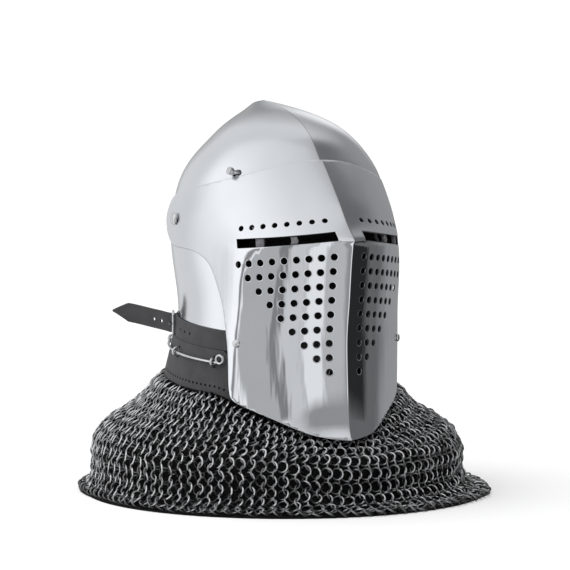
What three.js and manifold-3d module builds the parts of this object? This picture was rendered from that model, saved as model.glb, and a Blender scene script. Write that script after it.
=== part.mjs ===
// Bascinet: a ridged steel skull, a pierced visor on two pivots, and a mail aventail
// hung from a leather band. Millimetres, +Z up, the face looks along -Y.
import * as THREE from 'three';
import { mergeVertices } from 'three/addons/utils/BufferGeometryUtils.js';
import Module from 'manifold-3d';

const wasm = await Module();
wasm.setup();

// Driving dimensions
const PLATE = 2; // thickness of skull and visor
const GAP = 0.3; // clearance between touching pieces
const RIDGE_POINT = 0.15; // how far plan sections are drawn to a point at the front
const STATIONS = 28; // sides of the skull, band and mail
const PIVOT = { forward: -5, z: 267 };
const SKULL_EDGE = { face: 66, brow: 302, rear: -127, rearZ: 123, slope: -0.083 };
const HOLE = { pitch: 11.75, rowPitch: 13.49, drop: 1.05, first: 16.5, topZ: 234.6, diameter: 6.5 };
const BROW_HOLE = { count: 8, pitch: 12.4, drop: 1.15, first: 20, z: 268, diameter: 5.3 };
const FACE_ROW_COUNTS = [9, 8, 7, 6, 5, 4, 3, 2, 1];
const HOLE_SIDES = 6;
const SLIT = { inner: 14, outer: 85.2, innerZ: 249.6, outerZ: 241.4, height: 8.6 };
const GUARD_BAR = { width: 5, depth: 5, bottomZ: 234, topZ: 259, places: [48.5, 72.5] };
const PIVOT_RIVET = { shank: 2.7, head: 6.3, dome: 3.4, clinch: 5, seat: 110.1, inside: 101.6 };
const CHEEK_RIVET = { z: 151.5, girth: 107, shank: 1.8, head: 3.8, dome: 2.2, clinch: 3 };
const STRAP_HOLES = {
  radius: 1.6,
  turns: [-84, -90.5, -97],
  tail: [{ along: 11, out: 15.7, rise: 1.5 }, { along: 17, out: 23, rise: 3 }],
};
const CHAPE = { radius: 3.5, thickness: 2 };
const PRONG = { radius: 1.15, eye: 3.3, wire: 0.9, tip: { along: -11.5, out: 7.3 } };
const STRAP = { width: 19, thickness: 2.2, z: 157.2, slope: -0.095, end: 54, step: 8 };
const BAND = { thickness: 3, height: 36, z: 107, slope: -0.1, chinDrop: 24, chinFrom: 52, chinTo: 116 };
const VERVELLE = { ring: 3.6, wire: 1.3, below: 6.2, turns: [60.5, 94, 128, 162] };
const WIRE = { radius: 1.2, eye: 3.9, steps: 30, sides: 5 };
const MAIL = { thickness: 7, bulge: 180.5, bulgeZ: 40, middle: -8, frontReach: 0.12 };
const LOCK_PIN = {
  turn: -49.5,
  z: 311.5,
  out: 10.2,
  shaft: 1.6,
  head: 2.75,
  leaf: { sweep: 34, width: 10, thickness: 1.3, depth: 3.3 },
};

// Horizontal sections of the skull from its lower edge to its apex:
// half is the half width, middle the place of the widest line, front and rear the ends.
const SKULL_ROWS = [
  { z: 88, half: 113, front: 117, rear: -141, middle: 0 },
  { z: 118, half: 106.5, front: 116, rear: -129, middle: 0 },
  { z: 148, half: 100, front: 114, rear: -117, middle: 0 },
  { z: 177, half: 98, front: 113, rear: -112, middle: 0 },
  { z: 236, half: 105.5, front: 113, rear: -114, middle: 0 },
  { z: 262, half: 106, front: 112.5, rear: -113, middle: 0 },
  { z: 285, half: 103, front: 110.5, rear: -109, middle: 3 },
  { z: 310, half: 95, front: 101.3, rear: -102, middle: 6 },
  { z: 328, half: 84.8, front: 86.8, rear: -90, middle: 8 },
  { z: 344, half: 71.3, front: 71.8, rear: -76, middle: 10 },
  { z: 356, half: 57.5, front: 54.5, rear: -67, middle: 7 },
  { z: 366, half: 41, front: 32.5, rear: -60, middle: -1 },
  { z: 376, half: 20, front: -3, rear: -51.5, middle: -23 },
  { z: 381, half: 7, front: -32, rear: -47, middle: -39 },
];

// The visor is what two solids share. The hood slopes from brow to slit, half and front as above.
const HOOD_ROWS = [
  { z: 55, half: 109.8, front: 350 },
  { z: 240, half: 109.8, front: 174 },
  { z: 250, half: 109.8, front: 164.2 },
  { z: 263, half: 109.5, front: 150.4 },
  { z: 284, half: 107.4, front: 132.6 },
  { z: 300, half: 103.7, front: 118 },
  { z: 310, half: 100, front: 108.6 },
  { z: 324, half: 92, front: 95.2 },
  { z: 336, half: 83.5, front: 83.6 },
];
const HOOD_REAR = 200; // rear half length of the hood's section, long so that the tabs are flat

// The face drops from the slit to the chin: ridge on the middle line, side and sideForward at the
// upright crease where the cheek begins.
const FACE_ROWS = [
  { z: 55, ridge: 160.5, side: 92.5, sideForward: 73 },
  { z: 80, ridge: 152, side: 91.8, sideForward: 74.5 },
  { z: 112, ridge: 149, side: 90.7, sideForward: 77 },
  { z: 152, ridge: 147.6, side: 88.7, sideForward: 81.5 },
  { z: 194, ridge: 152.7, side: 86.4, sideForward: 87 },
  { z: 243, ridge: 159.8, side: 86.5, sideForward: 93 },
  { z: 250, ridge: 163.8, side: 86.8, sideForward: 94.5 },
  { z: 345, ridge: 195, side: 94, sideForward: 122 },
];
const FACE_SLOPE = 0.27; // how fast the face falls back beside its ridge
const CHEEK_FLARE = 0.36; // how fast the cheek widens behind the crease

// The visor's edge from the side, from the brow round the tab and cheek to the chin
const VISOR_EDGE = [
  { forward: 94, z: 324.2 },
  { forward: 80, z: 316.4 },
  { forward: 65.5, z: 309.3 },
  { forward: 38, z: 301.6 },
  { forward: 8, z: 295.6 },
  { forward: -13, z: 291.5 },
  { forward: -25, z: 283 },
  { forward: -30, z: 269 },
  { forward: -25, z: 252 },
  { forward: -12, z: 242 },
  { forward: 4, z: 239.4 },
  { forward: 21, z: 238 },
  { forward: 38, z: 233.6 },
  { forward: 51, z: 225 },
  { forward: 60.5, z: 209 },
  { forward: 67, z: 193 },
  { forward: 72.4, z: 171 },
  { forward: 75.5, z: 152 },
  { forward: 76.9, z: 130 },
  { forward: 77.4, z: 109 },
  { forward: 79.6, z: 99.6 },
  { forward: 91.4, z: 91.3 },
  { forward: 118.3, z: 78.7 },
  { forward: 141.5, z: 67.6 },
  { forward: 160, z: 62.5 },
];

// The mail's fall from the band to its bulge, as shares of the way out and of the way down
const MAIL_FALL = [
  { out: 0, down: 0 },
  { out: 0.17, down: 0.05 },
  { out: 0.46, down: 0.28 },
  { out: 0.74, down: 0.54 },
  { out: 0.93, down: 0.78 },
  { out: 1, down: 1 },
];
// The hem at the rear, and how much of the front's longer reach each line takes
const MAIL_HEM = [
  { radius: 180.5, z: 20, reach: 0 },
  { radius: 184, z: 8, reach: 0.3 },
  { radius: 188.5, z: 3.5, reach: 0.7 },
  { radius: 192, z: 3.5, reach: 0.9 },
  { radius: 195.5, z: 3.5, reach: 1 },
];

// The tongue strap at the buckle: along is rearward on the skull, out is away from it
const TONGUE_PATH = [
  { along: -14, out: 0.5, rise: 0 },
  { along: -9.25, out: 1.1, rise: 0 },
  { along: -5, out: 1.8, rise: 0 },
  { along: -1, out: 3.2, rise: 0 },
  { along: 2.2, out: 5.4, rise: 0.3 },
  { along: 4.1, out: 7.8, rise: 0.6 },
  { along: 6.2, out: 10.2, rise: 1 },
  { along: 9.3, out: 13.6, rise: 1.7 },
  { along: 17, out: 23, rise: 3.4 },
  { along: 29, out: 41, rise: 7 },
  { along: 37.5, out: 59, rise: 9.6 },
  { along: 40, out: 66, rise: 10 },
];
const BUCKLE = { turn: -116, length: 22, height: 25, bar: 2.4, low: 3.2, high: 5.8, cut: 2.5, innerCut: 0.4 };
const PRONG_SLOT = { tongue: { along: [0, 8.6], out: [5, 12.4] }, chape: 6, chapeOut: [-1, 10.5], room: 0.6 };

// Materials
const polishedSteel = new THREE.MeshStandardMaterial({ color: 0xc6c8ca, roughness: 0.22, metalness: 1 });
const fittingSteel = new THREE.MeshStandardMaterial({ color: 0xb4b5b6, roughness: 0.3, metalness: 1 });
const darkMail = new THREE.MeshStandardMaterial({ color: 0x3d3f42, roughness: 0.42, metalness: 1 });
const blackLeather = new THREE.MeshStandardMaterial({ color: 0x2a2a2c, roughness: 0.75, metalness: 0 });

const bascinet = new THREE.Group();
const UP = new THREE.Vector3(0, 0, 1);

// A point given by its distance to the right, forward and up
function at(x, forward, z) {
  return new THREE.Vector3(x, -forward, z);
}

function degrees(angle) {
  return THREE.MathUtils.degToRad(angle);
}

// Geometry from loops of points, joined in order. Open lofts are capped, closed ones meet themselves.
function loft(loops, closed = false) {
  const size = loops[0].length;
  const points = loops.flat();
  const faces = [];
  const last = closed ? loops.length : loops.length - 1;
  for (let i = 0; i < last; i += 1) {
    const low = i * size;
    const high = ((i + 1) % loops.length) * size;
    for (let j = 0; j < size; j += 1) {
      const next = (j + 1) % size;
      faces.push([low + j, low + next, high + next], [low + j, high + next, high + j]);
    }
  }
  if (!closed) {
    const end = (loops.length - 1) * size;
    for (const cap of THREE.ShapeUtils.triangulateShape(flatten(loops[0]), [])) {
      faces.push([cap[2], cap[1], cap[0]]);
    }
    for (const cap of THREE.ShapeUtils.triangulateShape(flatten(loops[loops.length - 1]), [])) {
      faces.push(cap.map((corner) => end + corner));
    }
  }
  const geometry = new THREE.BufferGeometry().setFromPoints(points);
  geometry.setIndex(facingOut(points, faces).flat());
  return geometry;
}

// A loop of points laid in its own plane, going round the same way as the loop
function flatten(loop) {
  const normal = new THREE.Vector3();
  loop.forEach((point, i) => normal.add(point.clone().cross(loop[(i + 1) % loop.length])));
  normal.normalize();
  const side = Math.abs(normal.z) > 0.9 ? new THREE.Vector3(1, 0, 0) : UP.clone();
  const across = side.clone().addScaledVector(normal, -side.dot(normal)).normalize();
  const over = normal.clone().cross(across);
  return loop.map((point) => new THREE.Vector2(point.dot(across), point.dot(over)));
}

// Faces turned so that the solid they close has a positive volume
function facingOut(points, faces) {
  const volume = faces.reduce(
    (sum, [a, b, c]) => sum + points[a].dot(points[b].clone().cross(points[c])),
    0,
  );
  return volume > 0 ? faces : faces.map(([a, b, c]) => [a, c, b]);
}

function toSolid(geometry) {
  const bare = geometry.clone();
  bare.deleteAttribute('normal');
  bare.deleteAttribute('uv');
  const merged = mergeVertices(bare, 1e-4);
  return new wasm.Manifold(
    new wasm.Mesh({
      numProp: 3,
      vertProperties: new Float32Array(merged.attributes.position.array),
      triVerts: new Uint32Array(merged.index.array),
    }),
  );
}

function toGeometry(solid) {
  const result = solid.getMesh();
  const geometry = new THREE.BufferGeometry();
  geometry.setAttribute('position', new THREE.BufferAttribute(result.vertProperties, 3));
  geometry.setIndex(new THREE.BufferAttribute(result.triVerts, 1));
  geometry.computeVertexNormals();
  return geometry;
}

function joined(solids) {
  return solids.reduce((all, solid) => all.add(solid));
}

function addPiece(name, shape, material) {
  const geometry = shape.isBufferGeometry ? shape : toGeometry(shape);
  const mesh = new THREE.Mesh(geometry, material);
  mesh.name = name;
  bascinet.add(mesh);
}

// The row of a table at a height, worked out between its neighbours
function rowAt(rows, z) {
  const upper = Math.max(1, Math.min(rows.length - 1, rows.findIndex((row) => row.z >= z)));
  const top = z > rows[rows.length - 1].z ? rows.length - 1 : upper;
  const [a, b] = [rows[top - 1], rows[top]];
  const share = (z - a.z) / (b.z - a.z);
  return Object.fromEntries(Object.keys(a).map((key) => [key, THREE.MathUtils.lerp(a[key], b[key], share)]));
}

// A point on a pointed oval: turn 0 is the front ridge, 90 degrees the wearer's left
function ovalPoint({ half, front, rear, middle, z }, turn) {
  const reach = Math.cos(turn);
  const length = reach > 0 ? (front - middle) * (1 - RIDGE_POINT * Math.abs(Math.sin(turn))) : middle - rear;
  return at(half * Math.sin(turn), middle + length * reach, z);
}

// A place on the skull, with its level outward direction and its rearward direction
function onSkull(turn, z, offset = 0) {
  const row = rowAt(SKULL_ROWS, z);
  const step = degrees(0.5);
  const angle = degrees(turn);
  const along = ovalPoint(row, angle + step).sub(ovalPoint(row, angle - step)).normalize();
  const out = along.clone().cross(UP).normalize();
  return { point: ovalPoint(row, angle).addScaledVector(out, offset), along, out };
}

// A side outline pushed across the whole helmet, for trimming
function sidePrism(outline, halfWidth = 160) {
  const loop = (x) => outline.map(({ forward, z }) => at(x, forward, z));
  return toSolid(loft([loop(-halfWidth), loop(halfWidth)]));
}

// A round pin from one point to another
function rod(from, to, radius, sides = 8) {
  const axis = to.clone().sub(from);
  const geometry = new THREE.CylinderGeometry(radius, radius, axis.length(), sides);
  geometry.applyQuaternion(new THREE.Quaternion().setFromUnitVectors(at(0, -1, 0), axis.clone().normalize()));
  geometry.translate(...from.clone().add(to).multiplyScalar(0.5).toArray());
  return geometry;
}

// A rivet turned about its axis: domed head outside, clinched end inside
function rivet({ shank, head, dome, clinch }, seat, outward, inside, sides = 10) {
  const clinchHeight = 1.4;
  const profile = [
    [0, inside - clinchHeight],
    [clinch, inside - clinchHeight],
    [clinch, inside],
    [shank, inside],
    [shank, 0],
    [head, 0],
    [head, dome * 0.3],
    [head * 0.78, dome * 0.76],
    [head * 0.42, dome * 0.95],
    [0, dome],
  ].map(([radius, height]) => new THREE.Vector2(radius, height));
  const geometry = new THREE.LatheGeometry(profile, sides);
  geometry.applyQuaternion(new THREE.Quaternion().setFromUnitVectors(at(0, -1, 0), outward));
  geometry.translate(...seat.toArray());
  return geometry;
}

// Skull
function skullLoops(inset) {
  return SKULL_ROWS.map((row, i) => {
    const above = SKULL_ROWS[Math.min(i + 1, SKULL_ROWS.length - 1)];
    const below = SKULL_ROWS[Math.max(i - 1, 0)];
    const slope = Math.max(0, (below.half - above.half) / (above.z - below.z));
    const level = inset / Math.hypot(1, slope);
    const shrunk = {
      half: Math.max(row.half - level, 1),
      front: Math.max(row.front - level, row.middle + 1),
      rear: Math.min(row.rear + level, row.middle - 1),
      middle: row.middle,
      z: row.z - level * slope,
    };
    return Array.from({ length: STATIONS }, (_, j) =>
      ovalPoint(shrunk, (2 * Math.PI * j) / STATIONS),
    );
  });
}

function lowerEdge(forward) {
  return SKULL_EDGE.rearZ + SKULL_EDGE.slope * (forward - SKULL_EDGE.rear);
}

const pivotAxis = (x) => at(x, PIVOT.forward, PIVOT.z);
const pivotHole = toSolid(rod(pivotAxis(-150), pivotAxis(150), PIVOT_RIVET.shank + GAP, 16));
const pinSeat = onSkull(LOCK_PIN.turn, LOCK_PIN.z);
const pinDirection = at(-0.96, 0.1, 0.26).normalize();
const pinInside = pinSeat.point.clone().addScaledVector(pinDirection, -5.5);
const pinOutside = pinSeat.point.clone().addScaledVector(pinDirection, LOCK_PIN.out);

function makeSkull() {
  const bowl = toSolid(loft(skullLoops(0))).subtract(toSolid(loft(skullLoops(PLATE))));
  const below = sidePrism([
    { forward: -200, z: lowerEdge(-200) },
    { forward: -200, z: 40 },
    { forward: 200, z: 40 },
    { forward: 200, z: lowerEdge(200) },
  ]);
  const { face, brow } = SKULL_EDGE;
  const opening = sidePrism([
    { forward: face, z: 60 },
    { forward: 200, z: 60 },
    { forward: 200, z: brow },
    { forward: face + 36, z: brow },
    { forward: face + 22, z: brow - 8 },
    { forward: face + 10, z: brow - 28 },
    { forward: face + 3, z: brow - 56 },
    { forward: face, z: brow - 85 },
  ]);
  const pinHole = toSolid(rod(pinInside, pinOutside, LOCK_PIN.shaft + GAP));
  return bowl.subtract(below).subtract(opening).subtract(pivotHole).subtract(pinHole);
}

// Visor
function hoodPoint({ half, front, z }, turn) {
  return ovalPoint({ half, front, rear: PIVOT.forward - HOOD_REAR, middle: PIVOT.forward, z }, turn);
}

function hoodLoops(inset) {
  const tabTurn = 103;
  const turns = Array.from({ length: 23 }, (_, j) => degrees(tabTurn * (j / 11 - 1)));
  return HOOD_ROWS.map((row) => {
    const shrunk = { half: row.half - inset, front: row.front - inset * 1.42, z: row.z - inset * 0.1 };
    return turns.map((turn) => hoodPoint(shrunk, turn));
  });
}

// How far forward the face lies beside its middle line
function faceForward({ ridge, side, sideForward }, x) {
  const curve = (ridge - FACE_SLOPE * side - sideForward) / side ** 2;
  return ridge - FACE_SLOPE * Math.abs(x) - curve * x * x;
}

function faceLoops(inset) {
  const shares = [1, 0.7, 0.42, 0.2];
  return FACE_ROWS.map((row) => {
    const shrunk = {
      ridge: row.ridge - inset * 1.04,
      side: row.side - inset * 0.9,
      sideForward: row.sideForward - inset * 0.46,
    };
    const rearForward = -50;
    const rearSide = shrunk.side + CHEEK_FLARE * (shrunk.sideForward - rearForward);
    const half = [[rearSide, rearForward]];
    half.push(...shares.map((share) => [share * shrunk.side, faceForward(shrunk, share * shrunk.side)]));
    const left = half.map(([x, forward]) => at(-x, forward, row.z));
    const right = half.map(([x, forward]) => at(x, forward, row.z)).reverse();
    return [...left, at(0, shrunk.ridge, row.z), ...right];
  });
}

function visorForm(inset) {
  return toSolid(loft(hoodLoops(inset))).intersect(toSolid(loft(faceLoops(inset))));
}

// A place on the face or hood at a height, a distance along the plate from the ridge
function alongPlate(place, girth, z) {
  const step = 0.002;
  let share = 0;
  let point = place(0, z);
  for (let travelled = 0; travelled < girth; ) {
    share += step;
    const next = place(share, z);
    travelled += next.distanceTo(point);
    point = next;
  }
  const across = place(share + step, z).sub(place(share - step, z));
  const upward = place(share, z + 1).sub(place(share, z - 1));
  return { point, out: across.cross(upward).normalize() };
}

function onFace(share, z) {
  const row = rowAt(FACE_ROWS, z);
  const x = Math.min(share, 1) * row.side;
  const back = Math.max(share - 1, 0) * row.side;
  return share <= 1
    ? at(x, faceForward(row, x), z)
    : at(row.side + CHEEK_FLARE * back, row.sideForward - back, z);
}

function onHood(share, z) {
  return hoodPoint(rowAt(HOOD_ROWS, z), (share * Math.PI) / 2);
}

function mirrored({ point, out }) {
  const flip = new THREE.Vector3(-1, 1, 1);
  return { point: point.clone().multiply(flip), out: out.clone().multiply(flip) };
}

// Tapered cutters for a hole and its mirror image: their wide end stands proud of the plate
function holeCutters(place, diameter) {
  const proud = 2;
  const taper = 45;
  return [place, mirrored(place)].map(({ point, out }) => {
    const cone = new THREE.ConeGeometry((diameter / 2) * (1 + proud / taper), taper + proud, HOLE_SIDES);
    cone.translate(0, (taper - proud) / 2, 0);
    cone.applyQuaternion(new THREE.Quaternion().setFromUnitVectors(at(0, -1, 0), out.clone().negate()));
    return toSolid(cone.translate(...point.toArray()));
  });
}

function breathingHoles() {
  const cutters = [];
  FACE_ROW_COUNTS.forEach((count, row) => {
    for (let i = 0; i < count; i += 1) {
      const z = HOLE.topZ - row * HOLE.rowPitch - i * HOLE.drop;
      const place = alongPlate(onFace, HOLE.first + i * HOLE.pitch, z);
      cutters.push(...holeCutters(place, HOLE.diameter));
    }
  });
  for (let i = 0; i < BROW_HOLE.count; i += 1) {
    const place = alongPlate(onHood, BROW_HOLE.first + i * BROW_HOLE.pitch, BROW_HOLE.z - i * BROW_HOLE.drop);
    cutters.push(...holeCutters(place, BROW_HOLE.diameter));
  }
  return cutters;
}

function eyeSlits() {
  return [-1, 1].map((side) => {
    const loop = (forward) => [
      at(side * SLIT.inner, forward, SLIT.innerZ),
      at(side * SLIT.outer, forward, SLIT.outerZ),
      at(side * SLIT.outer, forward, SLIT.outerZ + SLIT.height),
      at(side * SLIT.inner, forward, SLIT.innerZ + SLIT.height),
    ];
    return toSolid(loft([loop(70), loop(200)]));
  });
}

function guardBars() {
  const reach = 60;
  const boxes = GUARD_BAR.places.flatMap((x) =>
    [-x, x].map((place) => {
      const row = rowAt(FACE_ROWS, SLIT.innerZ - 6);
      const front = faceForward(row, x) + reach - GUARD_BAR.depth;
      const box = new THREE.BoxGeometry(GUARD_BAR.width, 2 * reach, GUARD_BAR.topZ - GUARD_BAR.bottomZ);
      const middle = at(place, front - PLATE, (GUARD_BAR.topZ + GUARD_BAR.bottomZ) / 2);
      return toSolid(box.translate(...middle.toArray()));
    }),
  );
  return joined(boxes).intersect(visorForm(PLATE * 0.7));
}

const cheek = alongPlate(onFace, CHEEK_RIVET.girth, CHEEK_RIVET.z);

function makeVisor() {
  const outline = [...VISOR_EDGE, { forward: 220, z: 30 }, { forward: 220, z: 380 }];
  const shell = visorForm(0).subtract(visorForm(PLATE)).intersect(sidePrism(outline));
  const cuts = joined([...breathingHoles(), ...eyeSlits()]);
  const rivetHoles = joined(holeCutters(cheek, 2 * (CHEEK_RIVET.shank + 3 * GAP)));
  return shell.subtract(cuts).subtract(rivetHoles).subtract(pivotHole).add(guardBars());
}

// Lock pin: pin and leaf spring in one
function conformingStrip(turns, z, width, thickness, offset) {
  const loops = turns.map((turn) => {
    const corner = (side, depth) => onSkull(turn, z + (side * width) / 2, offset - depth).point;
    return [corner(-1, 0), corner(1, 0), corner(1, thickness), corner(-1, thickness)];
  });
  return toSolid(loft(loops));
}

function makeLockPin() {
  const { turn, z, shaft, head, leaf } = LOCK_PIN;
  const turns = Array.from({ length: 7 }, (_, i) => turn + 4 - (i * leaf.sweep) / 6);
  const spring = conformingStrip(turns, z, leaf.width, leaf.thickness, -leaf.depth);
  const neck = pinOutside.clone().addScaledVector(pinDirection, -3);
  return joined([
    spring,
    toSolid(rod(pinInside, pinOutside, shaft)),
    toSolid(rod(neck, pinOutside, head)),
  ]);
}

// Straps: the corners of a flat section, lying on the skull or standing on edge along a free path
function strapOnSkull(turn, thickness) {
  const z = strapHeight(turn);
  const corner = (side, offset) => onSkull(turn, z + (side * STRAP.width) / 2, offset).point;
  return [corner(1, GAP + thickness), corner(-1, GAP + thickness), corner(-1, GAP), corner(1, GAP)];
}

function strapInAir(stations, thickness) {
  return stations.map(({ point, width }, i) => {
    const before = stations[Math.max(i - 1, 0)].point;
    const after = stations[Math.min(i + 1, stations.length - 1)].point;
    const out = UP.clone().cross(after.clone().sub(before)).setLength(thickness / 2);
    const rise = UP.clone().multiplyScalar(width / 2);
    return [
      point.clone().add(out).add(rise),
      point.clone().add(out).sub(rise),
      point.clone().sub(out).sub(rise),
      point.clone().sub(out).add(rise),
    ];
  });
}

function strapHeight(turn) {
  return STRAP.z - STRAP.slope * onSkull(turn, STRAP.z).point.y;
}

// A point beside the buckle, from its distance rearward along the skull, out from it and up
function atBuckle(along, out, rise) {
  const seat = onSkull(BUCKLE.turn, strapHeight(BUCKLE.turn));
  const beside = seat.point.addScaledVector(seat.along, -along).addScaledVector(seat.out, out);
  return beside.addScaledVector(UP, rise);
}

// A box set square to the buckle, for slots
function buckleBox(along, out, rise) {
  const loop = (z) => [
    atBuckle(along[0], out[0], z),
    atBuckle(along[1], out[0], z),
    atBuckle(along[1], out[1], z),
    atBuckle(along[0], out[1], z),
  ];
  return toSolid(loft([loop(-rise), loop(rise)]));
}

const HINGE_BAR = { along: (BUCKLE.length - BUCKLE.bar) / 2, out: (BUCKLE.low + BUCKLE.high) / 2 };

function makeTongueStrap() {
  const onHead = [];
  for (let turn = -STRAP.end; turn > BUCKLE.turn + 9; turn -= STRAP.step) {
    onHead.push(strapOnSkull(turn, STRAP.thickness));
  }
  const inAir = TONGUE_PATH.map(({ along, out, rise }, i) => {
    const width = i < TONGUE_PATH.length - 1 ? STRAP.width : STRAP.width * 0.35;
    return { point: atBuckle(along, out, rise), width };
  });
  const strap = toSolid(loft([...onHead, ...strapInAir(inAir, STRAP.thickness)]));
  const holes = STRAP_HOLES.turns.map((turn) => {
    const { point, out } = onSkull(turn, strapHeight(turn));
    return rod(point, point.clone().addScaledVector(out, 8), STRAP_HOLES.radius, 6);
  });
  STRAP_HOLES.tail.forEach(({ along, out, rise }) => {
    const [from, to] = [atBuckle(along - 7, out + 4, rise), atBuckle(along + 7, out - 4, rise)];
    holes.push(rod(from, to, STRAP_HOLES.radius, 6));
  });
  const prongSlot = buckleBox(PRONG_SLOT.tongue.along, PRONG_SLOT.tongue.out, PRONG.radius + PRONG_SLOT.room);
  return strap.subtract(joined(holes.map(toSolid))).subtract(prongSlot);
}

function makeBuckleStrap() {
  const loop = [];
  for (let angle = 40; angle <= 270; angle += 46) {
    const along = HINGE_BAR.along + CHAPE.radius * Math.cos(degrees(angle));
    const out = HINGE_BAR.out + CHAPE.radius * Math.sin(degrees(angle));
    loop.push({ point: atBuckle(along, out, 0), width: STRAP.width });
  }
  loop.push({ point: atBuckle(13.5, 0.75, 0), width: STRAP.width });
  const onHead = [];
  for (let turn = BUCKLE.turn - 12; turn >= STRAP.end - 360; turn -= STRAP.step) {
    onHead.push(strapOnSkull(turn, CHAPE.thickness));
  }
  const reach = [HINGE_BAR.along - PRONG_SLOT.chape, HINGE_BAR.along + PRONG_SLOT.chape];
  const slot = buckleBox(reach, PRONG_SLOT.chapeOut, PRONG.radius + PRONG_SLOT.room);
  return toSolid(loft([...strapInAir(loop, CHAPE.thickness), ...onHead])).subtract(slot);
}

// A rectangle with its corners cut off, as points going round it
function cutRectangle(across, tall, cut) {
  return [
    [across - cut, -tall],
    [across, -tall + cut],
    [across, tall - cut],
    [across - cut, tall],
    [-across + cut, tall],
    [-across, tall - cut],
    [-across, -tall + cut],
    [-across + cut, -tall],
  ].map(([x, y]) => new THREE.Vector2(x, y));
}

function makeBuckleFrame() {
  const { length, height, bar, low, high, cut, innerCut } = BUCKLE;
  const frame = new THREE.Shape(cutRectangle(length / 2, height / 2, cut));
  frame.holes.push(new THREE.Path(cutRectangle(length / 2 - bar, height / 2 - bar, innerCut)));
  const geometry = new THREE.ExtrudeGeometry(frame, { depth: high - low, bevelEnabled: false });
  const { along, out } = onSkull(BUCKLE.turn, strapHeight(BUCKLE.turn));
  const basis = new THREE.Matrix4().makeBasis(along.clone().negate(), UP, out.clone().negate());
  return geometry.applyMatrix4(basis.setPosition(atBuckle(0, high, 0)));
}

function makeBuckleProng() {
  const { radius, eye, wire, tip } = PRONG;
  const ring = new THREE.TorusGeometry(eye, wire, 5, 10);
  const { along, out } = onSkull(BUCKLE.turn, 0);
  const basis = new THREE.Matrix4().makeBasis(along.clone().negate(), out, UP);
  ring.applyMatrix4(basis.setPosition(atBuckle(HINGE_BAR.along, HINGE_BAR.out, 0)));
  const root = atBuckle(HINGE_BAR.along, HINGE_BAR.out + eye, 0);
  return toSolid(ring).add(toSolid(rod(root, atBuckle(tip.along, tip.out, 0), radius)));
}

// Leather band with slots for the vervelles
function bandBottom(turn) {
  const forward = -onSkull(turn, BAND.z + BAND.height / 2).point.y;
  const chin = THREE.MathUtils.smoothstep(forward, BAND.chinFrom, BAND.chinTo);
  return BAND.z + BAND.slope * forward - BAND.chinDrop * chin;
}

const vervelleTurns = [...VERVELLE.turns.map((turn) => -turn), ...VERVELLE.turns.slice().reverse()];

function vervellePlace(turn, offset) {
  return onSkull(turn, bandBottom(turn) + BAND.height - VERVELLE.below, offset);
}

function vervelleRing(turn, tube) {
  const offset = GAP + VERVELLE.wire + VERVELLE.ring;
  const { point, along, out } = vervellePlace(turn, offset);
  const basis = new THREE.Matrix4().makeBasis(out, UP, along.clone().negate());
  const ring = new THREE.TorusGeometry(VERVELLE.ring, tube, 5, 8);
  return ring.applyMatrix4(basis.setPosition(point));
}

function makeBand() {
  const loops = Array.from({ length: STATIONS }, (_, i) => {
    const turn = (360 * i) / STATIONS;
    const bottom = bandBottom(turn);
    const heights = [0, 0.5, 1].map((share) => bottom + share * BAND.height);
    const inner = heights.map((z) => onSkull(turn, z, 2 * GAP).point);
    const outer = heights.map((z) => onSkull(turn, z, 2 * GAP + BAND.thickness).point);
    return [...inner, ...outer.reverse()];
  });
  const slots = vervelleTurns.map((turn) => {
    const { point, along, out } = vervellePlace(turn, BAND.thickness);
    const slotHeight = 2 * (VERVELLE.ring + VERVELLE.wire + 2 * GAP);
    const slotWidth = 2 * (VERVELLE.wire + 2 * GAP);
    const box = new THREE.BoxGeometry(14, slotHeight, slotWidth);
    const basis = new THREE.Matrix4().makeBasis(out, UP, along.clone().negate());
    return toSolid(box.applyMatrix4(basis.setPosition(point)));
  });
  return toSolid(loft(loops, true)).subtract(joined(slots));
}

function makeWire() {
  const reach = VERVELLE.turns[0] - 4.5;
  const offset = GAP + VERVELLE.wire + VERVELLE.ring + 3 * GAP;
  const points = [];
  for (let i = 0; i <= WIRE.steps; i += 1) {
    points.push(vervellePlace(reach + ((360 - 2 * reach) * i) / WIRE.steps, offset).point);
  }
  const round = new THREE.Shape(
    Array.from({ length: WIRE.sides }, (_, i) => {
      const angle = (2 * Math.PI * i) / WIRE.sides;
      return new THREE.Vector2(WIRE.radius * Math.cos(angle), WIRE.radius * Math.sin(angle));
    }),
  );
  const path = new THREE.CatmullRomCurve3(points);
  const options = { steps: WIRE.steps, extrudePath: path, bevelEnabled: false };
  const wire = new THREE.ExtrudeGeometry(round, options);
  const { point, along, out } = vervellePlace(360 - reach, offset);
  const eye = new THREE.TorusGeometry(WIRE.eye, WIRE.radius, WIRE.sides, 10);
  const basis = new THREE.Matrix4().makeBasis(along, UP, out);
  eye.applyMatrix4(basis.setPosition(point.addScaledVector(UP, WIRE.eye).addScaledVector(out, 2 * GAP)));
  return toSolid(wire).add(toSolid(eye));
}

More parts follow.
